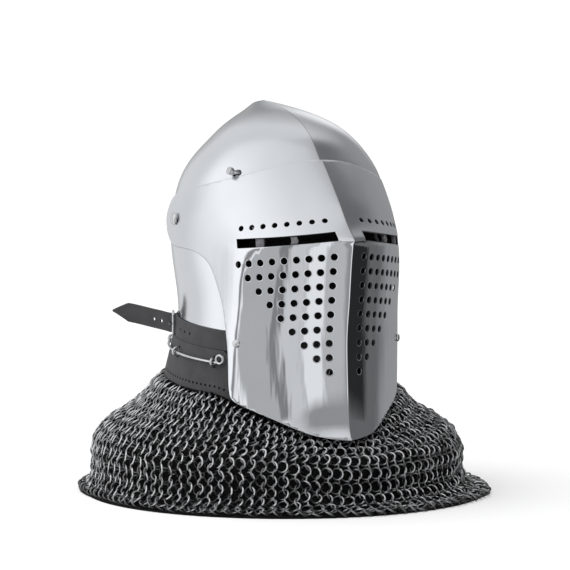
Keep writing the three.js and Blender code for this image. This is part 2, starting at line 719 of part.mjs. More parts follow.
// Mail: a wall that falls from the band to its bulge and lies out flat at the hem. Sections stand
// upright on spokes from the mail's own middle, and the hem reaches further at the front.
function mailSection(turn) {
  const hub = at(0, MAIL.middle, 0);
  const top = onSkull(turn, bandBottom(turn), 2 * GAP + BAND.thickness / 2).point;
  const spoke = top.clone().sub(hub).setZ(0);
  const start = { radius: spoke.length(), z: top.z - MAIL.thickness / 2 - 2 * GAP };
  spoke.normalize();
  const stretch = MAIL.frontReach * Math.max(0, -spoke.y);
  const middle = MAIL_FALL.map(({ out, down }) => ({
    radius: THREE.MathUtils.lerp(start.radius, MAIL.bulge, out),
    z: THREE.MathUtils.lerp(start.z, MAIL.bulgeZ, down),
  }));
  middle.push(...MAIL_HEM.map(({ radius, z, reach }) => ({ radius: radius * (1 + stretch * reach), z })));
  const side = (sign) =>
    middle.map(({ radius, z }, i) => {
      const before = middle[Math.max(i - 1, 0)];
      const after = middle[Math.min(i + 1, middle.length - 1)];
      const fall = new THREE.Vector2(after.radius - before.radius, after.z - before.z).normalize();
      const shift = (sign * MAIL.thickness) / 2;
      return hub.clone().addScaledVector(spoke, radius - fall.y * shift).setZ(z + fall.x * shift);
    });
  return [...side(1), ...side(-1).reverse()];
}

function makeMail() {
  const loops = Array.from({ length: STATIONS }, (_, i) => mailSection((360 * i) / STATIONS));
  return loft(loops, true);
}

// Assembly
addPiece('skull', makeSkull(), polishedSteel);
addPiece('visor', makeVisor(), polishedSteel);
for (const [name, side] of [['right', -1], ['left', 1]]) {
  const seat = pivotAxis(side * PIVOT_RIVET.seat);
  const inside = PIVOT_RIVET.inside - PIVOT_RIVET.seat;
  const pivot = rivet(PIVOT_RIVET, seat, at(side, 0, 0), inside);
  addPiece(`pivot_rivet_${name}`, pivot, fittingSteel);
  const { point, out } = side < 0 ? mirrored(cheek) : cheek;
  const cheekSeat = point.clone().addScaledVector(out, GAP);
  addPiece(`cheek_rivet_${name}`, rivet(CHEEK_RIVET, cheekSeat, out, -PLATE - 3 * GAP, 8), fittingSteel);
}
addPiece('lock_pin', makeLockPin(), fittingSteel);
addPiece('tongue_strap', makeTongueStrap(), blackLeather);
addPiece('buckle_strap', makeBuckleStrap(), blackLeather);
addPiece('buckle_frame', makeBuckleFrame(), fittingSteel);
addPiece('buckle_prong', makeBuckleProng(), fittingSteel);
addPiece('aventail_band', makeBand(), blackLeather);
vervelleTurns.forEach((turn, i) => {
  addPiece(`vervelle_${i + 1}`, vervelleRing(turn, VERVELLE.wire), fittingSteel);
});
addPiece('vervelle_wire', makeWire(), fittingSteel);
addPiece('mail_aventail', makeMail(), darkMail);

// The frame's origin lies under the middle of the whole helmet
const bounds = new THREE.Box3().setFromObject(bascinet);
bascinet.position.set(0, -(bounds.min.y + bounds.max.y) / 2, 0);

export default bascinet;
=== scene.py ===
import math

import bpy
import numpy as np
from mathutils import Matrix, Vector
from mathutils.geometry import delaunay_2d_cdt


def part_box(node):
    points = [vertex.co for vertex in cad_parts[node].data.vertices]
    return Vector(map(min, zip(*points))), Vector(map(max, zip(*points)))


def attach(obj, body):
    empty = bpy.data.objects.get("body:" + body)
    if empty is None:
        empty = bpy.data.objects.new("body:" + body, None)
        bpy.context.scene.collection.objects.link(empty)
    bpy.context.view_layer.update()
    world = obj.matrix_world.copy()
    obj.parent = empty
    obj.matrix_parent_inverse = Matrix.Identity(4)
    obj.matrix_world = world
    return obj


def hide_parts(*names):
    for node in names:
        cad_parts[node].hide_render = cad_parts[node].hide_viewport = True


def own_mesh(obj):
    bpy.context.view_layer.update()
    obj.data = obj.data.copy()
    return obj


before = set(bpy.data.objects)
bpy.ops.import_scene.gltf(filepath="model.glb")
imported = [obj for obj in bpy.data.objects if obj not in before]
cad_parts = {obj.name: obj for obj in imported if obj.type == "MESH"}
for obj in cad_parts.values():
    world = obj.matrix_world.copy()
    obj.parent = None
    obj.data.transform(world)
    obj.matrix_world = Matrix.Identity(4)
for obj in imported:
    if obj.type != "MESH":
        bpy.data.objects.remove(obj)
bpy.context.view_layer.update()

bl_info = {
    "name": "Bascinet",
    "version": (1, 0, 0),
    "blender": (4, 5, 0),
    "location": "View3D > Sidebar > Bascinet",
    "description": "Dresses the packed bascinet: plates, leather, fittings, mail and stage",
    "category": "Object",
}

HELMET, VISOR = "helmet", "visor_plate"
MM = 0.001
UP = np.array([0.0, 0.0, 1.0])

# Forms, in millimetres, counted forward from the same line as the solids
PIVOT_FORWARD, PIVOT_Z = -5.0, 267.0
PIVOT_LOW, PIVOT_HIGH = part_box("pivot_rivet_right")
SHIFT = (PIVOT_LOW.y + PIVOT_HIGH.y) / 2 / MM + PIVOT_FORWARD
RIDGE_POINT = 0.15
RIDGE_SOFT = 0.006
RIDGE_DARK_HALF = 0.55  # half width of the painted dark reflection along the ridge
RIDGE_CROWD = 0.85  # how closely the skull's columns stand at the ridge
GAP = 0.3
FAR, ASIDE = 220, 170  # well outside the helmet, for cutters

# Skull sections: height, half width, front, rear, place of the widest line
SKULL_ROWS = (
    (88, 113, 117, -141, 0),
    (118, 106.5, 116, -129, 0),
    (148, 100, 114, -117, 0),
    (177, 98, 113, -112, 0),
    (236, 105.5, 113, -114, 0),
    (262, 106, 112.5, -113, 0),
    (285, 103.8, 110.5, -109, 3),
    (310, 96.6, 101.3, -102, 6),
    (328, 85.8, 86.8, -90, 8),
    (344, 71.3, 71.8, -76, 10),
    (356, 57.5, 54.5, -67, 7),
    (366, 41, 32.5, -60, -1),
    (376, 20, -3, -51.5, -23),
    (381, 7, -32, -47, -39),
    (382.4, 0.02, -39.1, -39.3, -39.2),
)
# The face opening from the side. Its cheeks run on under the visor, turned out to follow it.
FACE_ARCH = (
    (72, 60), (74, 112), (78, 152), (82, 188), (82, 217), (80, 246),
    (83, 274), (91, 294), (102, 302), (136, 304),
)
CHEEK_FORWARD, CHEEK_TOP, CHEEK_ASIDE, CHEEK_CLEAR = (52, 80), (226, 252), (20, 64), 4.4
# Painted shade on the skull under the visor, black in front of this line: height, forward
VISOR_SHADE_EDGE = (
    (109, 76), (152, 74.5), (171, 72), (193, 68), (209, 66), (240, 68), (262, 73), (304, 108),
)
SKULL_REAR, SKULL_REAR_Z, SKULL_SLOPE, SKULL_UNDER = -127, 123, -0.083, 30

# Visor hood sections: height, half width, front
HOOD_ROWS = (
    (55, 109.8, 350),
    (240, 109.8, 174),
    (250, 109.8, 164.2),
    (263, 109.5, 150.4),
    (284, 106.2, 132.6),
    (300, 102.4, 118),
    (310, 99.2, 108.6),
    (324, 92, 95.2),
    (336, 83.5, 83.6),
)
HOOD_REAR = 200
# Visor face sections: height, ridge, half width and forward place of the cheek crease
FACE_ROWS = (
    (55, 160.5, 92.5, 73),
    (80, 152, 91.8, 74.5),
    (112, 149, 90.7, 77),
    (152, 147.6, 88.7, 81.5),
    (194, 152.7, 86.4, 87),
    (243, 159.8, 86.5, 93),
    (250, 163.8, 86.8, 94.5),
    (345, 195, 94, 122),
)
FACE_SLOPE, CHEEK_FLARE, CHEEK_SOFT = 0.27, 0.36, 6.0
AXIS_FORWARD = 20.0  # upright line that the visor's sections are seen from
# The visor's edge from the side: forward, height
VISOR_EDGE = (
    (95.2, 324.4), (94, 324.2), (80, 316.4), (65.5, 309.3), (38, 301.6), (8, 295.6), (-13, 291.5),
    (-25, 283), (-30, 269), (-25, 252), (-12, 242), (4, 239.4), (21, 238), (38, 233.6),
    (51, 225), (60.5, 209), (67, 193), (72.4, 171), (75.5, 152), (76.9, 130), (77.4, 109),
    (79.6, 99.6), (91.4, 91.3), (118.3, 78.7), (141.5, 67.6), (161, 62.5),
)
# Width of the painted shadow line along the visor's rear edge, and how far forward and up that edge reaches
EDGE_SHADOW_WIDTH, EDGE_FRONT, EDGE_TOP = 0.6, 78, 245
FACE_HOLES = (9, 8, 7, 6, 5, 4, 3, 2, 1)
HOLE_PITCH, HOLE_ROW, HOLE_DROP, HOLE_FIRST, HOLE_TOP = 11.75, 13.49, 1.05, 16.5, 234.6
BROW_COUNT, BROW_PITCH, BROW_DROP, BROW_FIRST, BROW_Z = 8, 12.4, 1.15, 20, 268
SLIT_INNER, SLIT_OUTER, SLIT_INNER_Z, SLIT_OUTER_Z, SLIT_HEIGHT = 14, 85.2, 249.6, 241.4, 8.6
CHEEK_HOLE, PIVOT_BORE = 4.8, 3.1  # diameter for the cheek rivet, radius for the pivot
SLIT_TURN = 1.5  # no slit or bar reaches further round, in radians
GUARD_PLACES, GUARD_WIDTH, GUARD_DEPTH, GUARD_LOW, GUARD_HIGH = (48.5, 72.5), 5, 3, 235, 262
GUARD_CLEAR = 0.15

PIVOT_SEAT, PIVOT_INSIDE, PIVOT_HOLE = 110.1, 101.6, 3.0
PIVOT_END = PIVOT_INSIDE - PIVOT_SEAT
CHEEK_GIRTH, CHEEK_Z = 107, 151.5
# Rivets: radius, height over the plate
PIVOT_PROFILE = (
    (4.2, PIVOT_END - 1.4), (5.0, PIVOT_END - 1.0), (5.0, PIVOT_END), (2.7, PIVOT_END), (2.7, 0), (5.9, 0), (6.3, 0.35),
    (6.3, 0.9), (5.9, 1.75), (5.1, 2.5), (3.9, 3.05), (2.4, 3.35), (1.0, 3.47), (0.05, 3.5))
CHEEK_PROFILE = (
    (2.4, -4.0), (3.0, -3.7), (3.0, -2.9), (1.8, -2.9), (1.8, 0), (3.5, 0), (3.8, 0.3), (3.75, 0.75), (3.3, 1.35),
    (2.4, 1.85), (1.3, 2.12), (0.05, 2.2))
PIN_TURN, PIN_Z, PIN_OUT, PIN_IN, PIN_HOLE = -49.5, 311.5, 10.2, 5.5, 3.7
PIN_WAY = (-0.96, -0.1, 0.26)
PIN_HEAD = ((2.3, -4.8), (3.5, -4.7), (3.8, -4.3), (3.8, -0.6), (3.5, -0.15), (2.8, 0), (0.05, 0.1))
LEAF_WIDTH, LEAF_THICKNESS, LEAF_SEAT = 10.0, 1.3, -4.7
STRAP_Z, STRAP_SLOPE, STRAP_END = 157.2, -0.095, 54
BUCKLE_TURN, BUCKLE_LENGTH, BUCKLE_HEIGHT, BUCKLE_BAR = -116, 22, 25, 2.4
BUCKLE_LOW, BUCKLE_HIGH, BUCKLE_CORNER = 3.2, 5.8, 2.6
HINGE_ALONG, HINGE_OUT = (BUCKLE_LENGTH - BUCKLE_BAR) / 2, (BUCKLE_LOW + BUCKLE_HIGH) / 2
BAR_WIRE, EYE_WIRE, PRONG_WIRE = 1.25, 0.9, 1.1  # radii
CHAPE, CHAPE_LOOP = 2.0, 3.5  # thickness of the buckle strap, and its loop round the hinge
PRONG_EYE, PRONG_PATH = 3.3, ((0, 8.6), (-9, 7.9), (-11.5, 7.2))
STRAP_HOLE, STITCH_HOLE = 1.6, 1.3  # radii
STRAP_HOLES = (-84, -90.5, -97)  # turns
TAIL_HOLES = ((11, 15.7, 1.5), (17, 23, 3))  # along, out, rise
TAIL_POINT = 17  # length of the tail's tip
# The tongue strap beside the buckle: along, out, rise
TONGUE_PATH = (
    (-14, 0.5, 0), (-9.25, 1.1, 0), (-5, 1.8, 0), (-1, 3.2, 0), (2.2, 5.4, 0.3), (4.1, 7.8, 0.6),
    (6.2, 10.2, 1), (9.3, 13.6, 1.7), (17, 23, 3.4), (29, 41, 7), (37.5, 59, 9.6), (40, 66, 10),
)
BAND_Z, BAND_HEIGHT, BAND_SLOPE = 107, 36, -0.1
BAND_TUCK = 4.2  # what the leather rises above the solid in front, where no strap lies on it
BAND_LAP = 0.3  # what it laps behind the strap
STITCH_RISE = 7.0
SLOT = (1.9, 7, 5.6)  # half width, depth and height of a slot for a staple
CHIN_DROP, CHIN_FROM, CHIN_TO = 24, 52, 116
VERVELLE_RING, VERVELLE_WIRE, VERVELLE_BELOW = 3.6, 1.3, 6.2
VERVELLE_TURNS = (60.5, 94, 128, 162)
WIRE_RADIUS, WIRE_EYE, WIRE_PAST = 1.2, 3.9, 4.5
MAIL_BULGE, MAIL_BULGE_Z, MAIL_MIDDLE, MAIL_FRONT, MAIL_WALL = 180.5, 40, -8, 0.12, 7
# The lining behind the mail is nearly black: a real lining, and painted shade in the gaps between the rings
LINING_LENGTH = 0.17  # metres from the band to the hem, along the fall
LINING_FLARE = 1.2  # width of the piece it was cut from, against area over length
LINING_RISE = 5.2  # up to the band's lower edge, where it is sewn
LINING_BEHIND = 3.3  # behind the rings' middle
RING_OVERLAP = 4.03
RING_SCATTER = (7, 8, 0.25, 0.35, 0.4, 1)  # tilt and twist in degrees, outward, aside and down, and scatter of the painted highlight
HEM_WAVES = ((2.2, 3, 0.6), (1.6, 7, 2.0))  # height, waves round the hem, start
MAIL_FOLDS = ((0.7, 11, 16), (0.5, 23, -9))  # depth, folds round the mail, millimetres of fall to a radian
MAIL_OPEN = 0.62  # how far the rings with the painted highlight lean, against the ones between them
MAIL_STRIP = 2.6  # near-black lining, painted shade, that shows under the lowest rings, more to the right and rear
# How the mail falls from band to bulge: share outward, share down, and share outward where it sags. It sags along
# the line of MAIL_SAG, in degrees to the wearer's left.
MAIL_FALL = ((0, 0, 0), (0.17, 0.05, 0.07), (0.46, 0.28, 0.27), (0.74, 0.54, 0.66), (0.93, 0.78, 0.92), (1, 1, 1))
MAIL_SAG = -112
MAIL_HEM = ((180.5, 20, 0), (184, 8, 0.3), (188.5, 3.5, 0.7), (192, 3.5, 0.9), (195.5, 3.5, 1))


def length_value(name, description, default):
    return bpy.props.FloatProperty(name=name, description=description, default=default, unit="LENGTH")


def colour_value(name, description, default):
    return bpy.props.FloatVectorProperty(name=name, description=description, default=default, subtype="COLOR")


class BascinetSizes(bpy.types.PropertyGroup):
    """Sizes of the pieces"""

    plate: length_value("Plate", "Thickness of the skull", 0.002)
    visor_plate: length_value("Visor plate", "Thickness of the visor", 0.0014)
    chamfer: length_value("Rim chamfer", "Width of the chamfer on holes and edges", 0.00035)
    breath_hole: length_value("Breathing hole", "Diameter of the holes in the face", 0.0065)
    brow_hole: length_value("Brow hole", "Diameter of the holes over the slits", 0.0053)
    strap_width: length_value("Strap width", "Width of both straps", 0.019)
    strap_thickness: length_value("Strap thickness", "Thickness of the tongue strap", 0.0022)
    band_thickness: length_value("Band thickness", "Thickness of the band", 0.0025)
    stitch: length_value("Stitch", "Distance between stitch holes", 0.0056)
    ring: length_value("Ring", "Radius of a mail ring at its wire's middle", 0.0053)
    ring_wire: length_value("Ring wire", "Radius of a mail ring's wire", 0.00098)
    ring_pitch: length_value("Ring pitch", "Distance between rings down a column", 0.0127)
    ring_columns: bpy.props.IntProperty(
        name="Ring columns", description="Columns of rings round the hem, an even number", default=226)


class BascinetFinishes(bpy.types.PropertyGroup):
    """Colours and polish"""

    steel: colour_value("Steel", "Colour of skull and visor", (0.775, 0.80, 0.84))
    satin: bpy.props.FloatProperty(name="Satin", description="Roughness of the skull and hood", default=0.2)
    mirror: bpy.props.FloatProperty(name="Mirror", description="Roughness of the visor's face", default=0.055)
    fitting: colour_value("Fittings", "Colour of rivets, buckle and wire", (0.76, 0.77, 0.78))
    mail: colour_value("Mail", "Colour of worn mail", (0.9, 0.91, 0.93))
    inside: colour_value("Inside", "Colour of the plates' blackened inside", (0.03, 0.03, 0.032))
    # Nearly black: painted shade for the gaps between the rings
    shade_lining: colour_value("Lining", "Colour of the lining behind the mail", (0.004, 0.004, 0.0045))
    leather: colour_value("Leather", "Colour of straps and band", (0.036, 0.036, 0.039))
    floor: colour_value("Floor", "Colour of the floor", (0.9, 0.9, 0.9))


# Shader values as expressions


class Shade:
    """A node socket that takes part in sums"""

    def __init__(self, tree, socket=None):
        self.tree = tree
        self.socket = socket

    def node(self, kind, settings=None, inputs=None, output=0):
        """Adds a node: settings first, then the values or links of its sockets"""
        made = self.tree.nodes.new(kind)
        for key, value in (settings or {}).items():
            setattr(made, key, value)
        for key, value in (inputs or {}).items():
            self.feed(made.inputs[key], value)
        return Shade(self.tree, made.outputs[output])

    def feed(self, target, value):
        if isinstance(value, Shade):
            self.tree.links.new(value.socket, target)
        else:
            target.default_value = value

    def sum(self, operation, left, right):
        return self.node("ShaderNodeMath", {"operation": operation}, {0: left, 1: right})

    def __add__(self, other):
        return self.sum("ADD", self, other)

    def __radd__(self, other):
        return self.sum("ADD", other, self)

    def __sub__(self, other):
        return self.sum("SUBTRACT", self, other)

    def __rsub__(self, other):
        return self.sum("SUBTRACT", other, self)

    def __mul__(self, other):
        return self.sum("MULTIPLY", self, other)

    def __rmul__(self, other):
        return self.sum("MULTIPLY", other, self)

    def mix(self, low, high):
        """Two colours mixed by this value"""
        return self.node("ShaderNodeMix", {"data_type": "RGBA"}, {0: self, 6: low, 7: high}, 2)

    def clamp(self, low, high):
        """This value spread from low..high to 0..1"""
        return self.node("ShaderNodeMapRange", {"clamp": True}, {0: self, 1: low, 2: high})

    def place(self):
        return self.node("ShaderNodeTexCoord", output=3)

    def noise(self, scale, detail):
        """Noise over the piece, stretched by a scale on each axis"""
        turned = self.node("ShaderNodeMapping", None, {"Vector": self.place(), "Scale": scale})
        return self.node("ShaderNodeTexNoise", None, {"Vector": turned, "Scale": 1.0, "Detail": detail})

    def marked(self, name):
        """A value that the piece keeps for each of its points"""
        return self.node("ShaderNodeAttribute", {"attribute_name": name}, output=2)

    def bump(self, height, strength, distance, under=None):
        """A bumped normal, laid over another one if there is one"""
        inputs = {"Strength": strength, "Distance": distance, "Height": height}
        if under:
            inputs["Normal"] = under
        return self.node("ShaderNodeBump", None, inputs)


def finished(name, finish, *values):
    """A new material whose surface takes what a finish says for its sockets"""
    material = bpy.data.materials.new(name)
    material.use_nodes = True
    tree = material.node_tree
    surface = next(n for n in tree.nodes if n.type == "BSDF_PRINCIPLED")
    shade = Shade(tree)
    for socket, value in finish(shade, *values).items():
        shade.feed(surface.inputs[socket], value)
    return material


def tone(colour, share):
    return (colour[0] * share, colour[1] * share, colour[2] * share, 1.0)


def plate_steel(shade, colour, satin, mirror):
    """Polished plate: long soft ripples, fine polishing marks, a brighter polish on the face, painted shade under the
    visor and a painted dark reflection along the ridge
    """
    # The ridge mark is a painted dark reflection along the ridge
    face, ridge, under = (shade.marked(name) for name in ("face_polish", "ridge_painted_dark", "painted_visor_shade"))
    ripple = shade.noise((26, 26, 8), 1) * 1.3 + shade.noise((80, 80, 12), 2) * 0.34
    marks = shade.noise((260, 260, 2600), 3)
    cloud = shade.noise((22, 22, 22), 4)
    bright = cloud.clamp(0.3, 0.75).mix(tone(colour, 0.95), tone(colour, 1.0))
    wave = shade.bump(ripple * (0.12 + face * 0.88), 1.0, 0.0009)
    return {
        "Metallic": 1.0,
        "Roughness": satin + face * (mirror - satin) + (cloud - 0.5) * 0.05 + (marks - 0.5) * 0.03,
        # Painted shade: under the visor the base colour goes nearly black
        "Base Color": under.mix(ridge.mix(bright, tone(colour, 0.62)), tone(colour, 0.03)),
        "Normal": shade.bump(marks, 0.5, 0.000004, wave),
    }


def fitting_steel(shade, colour):
    """Rivets, buckle and wire: polished, with handling marks"""
    wear = shade.noise((420, 420, 420), 4)
    return {
        "Metallic": 1.0,
        "Roughness": 0.16 + wear * 0.2,
        "Base Color": wear.clamp(0.3, 0.7).mix(tone(colour, 0.8), tone(colour, 1.05)),
        "Normal": shade.bump(wear, 0.4, 0.00003),
    }


def mail_steel(shade, colour):
    """Blackened wire: each ring carries painted highlight and shade by its set and its raised half, and worn spots are
    brighter
    """
    wear = shade.noise((700, 700, 700), 3)
    # Painted highlight and shade from the ring mark, with worn spots from noise on top
    lit_and_worn = shade.marked("ring_painted_light") * (0.7 + wear.clamp(0.3, 0.7) * 0.3)
    return {
        "Metallic": 1.0,
        "Roughness": 0.22 + wear * 0.22,
        "Base Color": lit_and_worn.mix(tone(colour, 0.07), tone(colour, 1.1)),
    }


def blackened(shade, colour):
    """Forge-black steel, left rough"""
    scale = shade.noise((240, 240, 240), 5)
    return {
        "Roughness": 0.55 + scale * 0.3,
        "Base Color": scale.clamp(0.3, 0.75).mix(tone(colour, 0.7), tone(colour, 1.6)),
        "Normal": shade.bump(scale, 0.4, 0.0002),
    }


def leather(shade, colour, gloss):
    """Matte black leather: pebbled grain, rubbed patches"""
    grain = shade.node("ShaderNodeTexVoronoi", {"feature": "SMOOTH_F1"}, {"Vector": shade.place(), "Scale": 1100.0})
    patch = shade.noise((60, 60, 60), 5)
    return {
        "Specular IOR Level": gloss,
        "Roughness": 0.52 + patch * 0.2,
        "Base Color": patch.clamp(0.3, 0.75).mix(tone(colour, 0.75), tone(colour, 1.45)),
        "Normal": shade.bump(grain, 0.45, 0.0002),
    }


def floor_paper(shade, colour):
    """Plain matte paper"""
    return {"Base Color": tone(colour, 1.0), "Roughness": 0.9}


# Lines and sections


def at(x, forward, z):
    """Points from distances to the side, forward and up, in millimetres of the frame"""
    return np.stack(np.broadcast_arrays(np.asarray(x, float), SHIFT - np.asarray(forward, float), z), -1)


def cubic(stations, values, where):
    """A smooth curve through values at stations, read where asked"""
    count, step = len(stations), np.diff(stations)
    system, right = np.eye(count), np.zeros_like(values)
    for i in range(1, count - 1):
        system[i, i - 1 : i + 2] = step[i - 1], 2 * (step[i - 1] + step[i]), step[i]
        right[i] = 6 * ((values[i + 1] - values[i]) / step[i] - (values[i] - values[i - 1]) / step[i - 1])
    bend = np.linalg.solve(system, right)
    k = np.clip(np.searchsorted(stations, where) - 1, 0, count - 2)
    b = ((where - stations[k]) / step[k])[..., None]
    a, h = 1 - b, step[k][..., None]
    return a * values[k] + b * values[k + 1] + ((a**3 - a) * bend[k] + (b**3 - b) * bend[k + 1]) * h**2 / 6


def along_chords(points):
    """Distances along a line of points"""
    return np.concatenate([[0.0], np.cumsum(np.linalg.norm(np.diff(points, axis=0), axis=1))])


def smooth_line(points, count):
    """A smooth line through points, with evenly spread points"""
    points = np.asarray(points, float)
    travelled = along_chords(points)
    return cubic(travelled, points, np.linspace(0, travelled[-1], count))


def steady(stations, values, where):
    """A curve through values that never swings past them"""
    stations, values = np.asarray(stations, float), np.asarray(values, float)
    step = np.diff(stations)
    rise = np.diff(values) / step
    slope = np.concatenate([[rise[0]], np.zeros(len(rise) - 1), [rise[-1]]])
    same = rise[:-1] * rise[1:] > 0
    slope[1:-1][same] = 2 * rise[:-1][same] * rise[1:][same] / (rise[:-1][same] + rise[1:][same])
    k = np.clip(np.searchsorted(stations, where) - 1, 0, len(rise) - 1)
    t = (where - stations[k]) / step[k]
    return (
        values[k] * (1 + 2 * t) * (1 - t) ** 2
        + values[k + 1] * t**2 * (3 - 2 * t)
        + step[k] * (slope[k] * t * (1 - t) ** 2 + slope[k + 1] * t**2 * (t - 1))
    )


def ease(value, low, high):
    t = np.clip((np.asarray(value, float) - low) / (high - low), 0, 1)
    return t * t * (3 - 2 * t)


def soft_min(a, b, width):
    share = np.maximum(width - np.abs(a - b), 0) / width
    return np.minimum(a, b) - share * share * width / 4


def unit(vectors):
    return vectors / np.linalg.norm(vectors, axis=-1, keepdims=True)


def row_at(rows, column, z):
    """One column of a table of sections, read at heights"""
    return steady([row[0] for row in rows], [row[column] for row in rows], z)


def halved(past, shape, top, rounds):
    """The least value from 0 to top that is past a mark, found by halving"""
    low, high = np.zeros(shape), np.full(shape, top)
    for _ in range(rounds):
        middle = (low + high) / 2
        over = past(middle)
        low, high = np.where(over, low, middle), np.where(over, middle, high)
    return (low + high) / 2


def circle(count, closed=True):
    """Turns round a circle, with the first one again at the end if it is closed"""
    return np.linspace(0, 2 * math.pi, count + closed, endpoint=closed)


def forward_of(points):
    return SHIFT - points[..., 1]


def inward_of(points):
    return -points[..., 0]


SKULL_TABLE = np.array(SKULL_ROWS, float)
SKULL_STATIONS = along_chords(SKULL_TABLE[:, :2])
SKULL_DENSE = cubic(SKULL_STATIONS, SKULL_TABLE, np.linspace(0, SKULL_STATIONS[-1], 3000))


def oval(half, front, rear, middle, z, turn):
    """Points on a pointed oval: turn 0 is the front ridge, a quarter turn the wearer's left"""
    side, reach = np.sin(turn), np.cos(turn)
    soft = np.sqrt(side**2 + RIDGE_SOFT**2) - RIDGE_SOFT
    length = np.where(reach > 0, (front - middle) * (1 - RIDGE_POINT * soft), middle - rear)
    return at(half * side, middle + length * reach, z)


def skull_row(z):
    return [np.interp(z, SKULL_DENSE[:, 0], SKULL_DENSE[:, i]) for i in range(1, 5)]


def on_skull(turn, z, offset=0.0):
    """A place on the skull, with its rearward and outward directions. turn in degrees."""
    angle, step = np.radians(turn), math.radians(0.5)
    row = skull_row(z)
    along = unit(oval(*row, z, angle + step) - oval(*row, z, angle - step))
    out = np.cross(along, UP)
    return oval(*row, z, angle) + out * np.asarray(offset)[..., None], along, out


def strap_height(turn):
    return STRAP_Z + STRAP_SLOPE * forward_of(on_skull(turn, STRAP_Z)[0])


def strap_edges(turns, width, offset):
    """Lower and upper edge of a strap on the skull"""
    heights = strap_height(turns)
    return [on_skull(turns, heights + side * width / 2, offset)[0] for side in (-1, 1)]


def at_buckle(along, out, rise):
    place, rearward, outward = on_skull(BUCKLE_TURN, strap_height(BUCKLE_TURN))
    return place - rearward * along + outward * out + UP * rise


def round_hinge(radius, turn):
    return at_buckle(HINGE_ALONG + radius * math.cos(turn), HINGE_OUT + radius * math.sin(turn), 0)


def band_bottom(turn):
    forward = forward_of(on_skull(turn, BAND_Z + BAND_HEIGHT / 2)[0])
    return BAND_Z + BAND_SLOPE * forward - CHIN_DROP * ease(forward, CHIN_FROM, CHIN_TO)


def at_vervelle(turn, offset):
    return on_skull(turn, band_bottom(turn) + BAND_HEIGHT - VERVELLE_BELOW, offset)


# The visor's form


def face_forward(x, z):
    """How far forward the face stands beside its ridge"""
    ridge, side, side_forward = (row_at(FACE_ROWS, i, z) for i in (1, 2, 3))
    beside = np.sqrt(x * x + 0.25) - 0.5
    curve = (ridge - FACE_SLOPE * side - side_forward) / side**2
    front = ridge - FACE_SLOPE * beside - curve * x * x
    cheek = side_forward - (np.abs(x) - side) / CHEEK_FLARE
    return soft_min(front, cheek, CHEEK_SOFT)


def hood_reach(angle, z):
    """Distance from the axis to the hood"""
    half, front = (row_at(HOOD_ROWS, i, z) for i in (1, 2))

    def seen(turn):
        place = oval(half, front, PIVOT_FORWARD - HOOD_REAR, PIVOT_FORWARD, z, turn)
        return place[..., 0], forward_of(place) - AXIS_FORWARD

    return np.hypot(*seen(halved(lambda turn: np.arctan2(*seen(turn)) > angle, angle.shape, math.radians(150), 43)))


def face_reach(angle, z):
    """Distance from the axis to the face"""

    def past(reach):
        return AXIS_FORWARD + reach * np.cos(angle) > face_forward(reach * np.sin(angle), z)

    return halved(past, angle.shape, 400.0, 44)


def visor_point(angle, z):
    """Points on the visor's outside at an angle from the front and a height"""
    angle, z = np.broadcast_arrays(np.asarray(angle, float), np.asarray(z, float))
    hood, face = hood_reach(angle, z), face_reach(angle, z)
    beside = np.minimum(hood, face) * np.sin(angle)
    reach = soft_min(hood, face, 3.0 + 11.0 * ease(beside, 60, 100))
    return at(reach * np.sin(angle), AXIS_FORWARD + reach * np.cos(angle), z)


def is_face(angle, z):
    """1 on the face's front, 0 on hood and cheek"""
    hood, face = hood_reach(angle, z), face_reach(angle, z)
    side = row_at(FACE_ROWS, 2, z)
    return ease(hood - face, -1, 2) * (1 - ease(face * np.sin(angle), side + 4, side + 14))


def solve_angle(wanted, z, measure, top=2.3):
    """The angle where a falling measure of the visor's points reaches a wanted value"""
    wanted, z = np.broadcast_arrays(np.asarray(wanted, float), np.asarray(z, float))
    return halved(lambda angle: measure(visor_point(angle, z)) < wanted, wanted.shape, top, 30)


def visor_tangents(angle, z, turn=0.004, rise=0.4):
    """Directions round and up the visor's plate, to each radian and millimetre"""
    round_way = (visor_point(angle + turn, z) - visor_point(angle - turn, z)) / (2 * turn)
    up_way = (visor_point(angle, z + rise) - visor_point(angle, z - rise)) / (2 * rise)
    return round_way, up_way


def visor_out(angle, z):
    return unit(np.cross(*visor_tangents(angle, z)))


def girth_angle(girth, z):
    """The angle that lies a distance along the plate from the ridge"""
    angles = np.linspace(0, 1.9, 900)
    travelled = along_chords(visor_point(angles, z))
    return float(np.interp(girth, travelled, angles))


# Meshes


def deselect():
    if bpy.context.mode != "OBJECT":
        bpy.ops.object.mode_set(mode="OBJECT")
    bpy.ops.object.select_all(action="DESELECT")


def activate(piece):
    deselect()
    piece.select_set(True)
    bpy.context.view_layer.objects.active = piece


def edit(piece, *steps):
    """Runs edit-mode steps on the whole of a piece"""
    activate(piece)
    bpy.ops.object.mode_set(mode="EDIT")
    bpy.ops.mesh.select_all(action="SELECT")
    for step, settings in steps:
        step(**settings)
    bpy.ops.object.mode_set(mode="OBJECT")


OUTWARDS = bpy.ops.mesh.normals_make_consistent, {"inside": False}


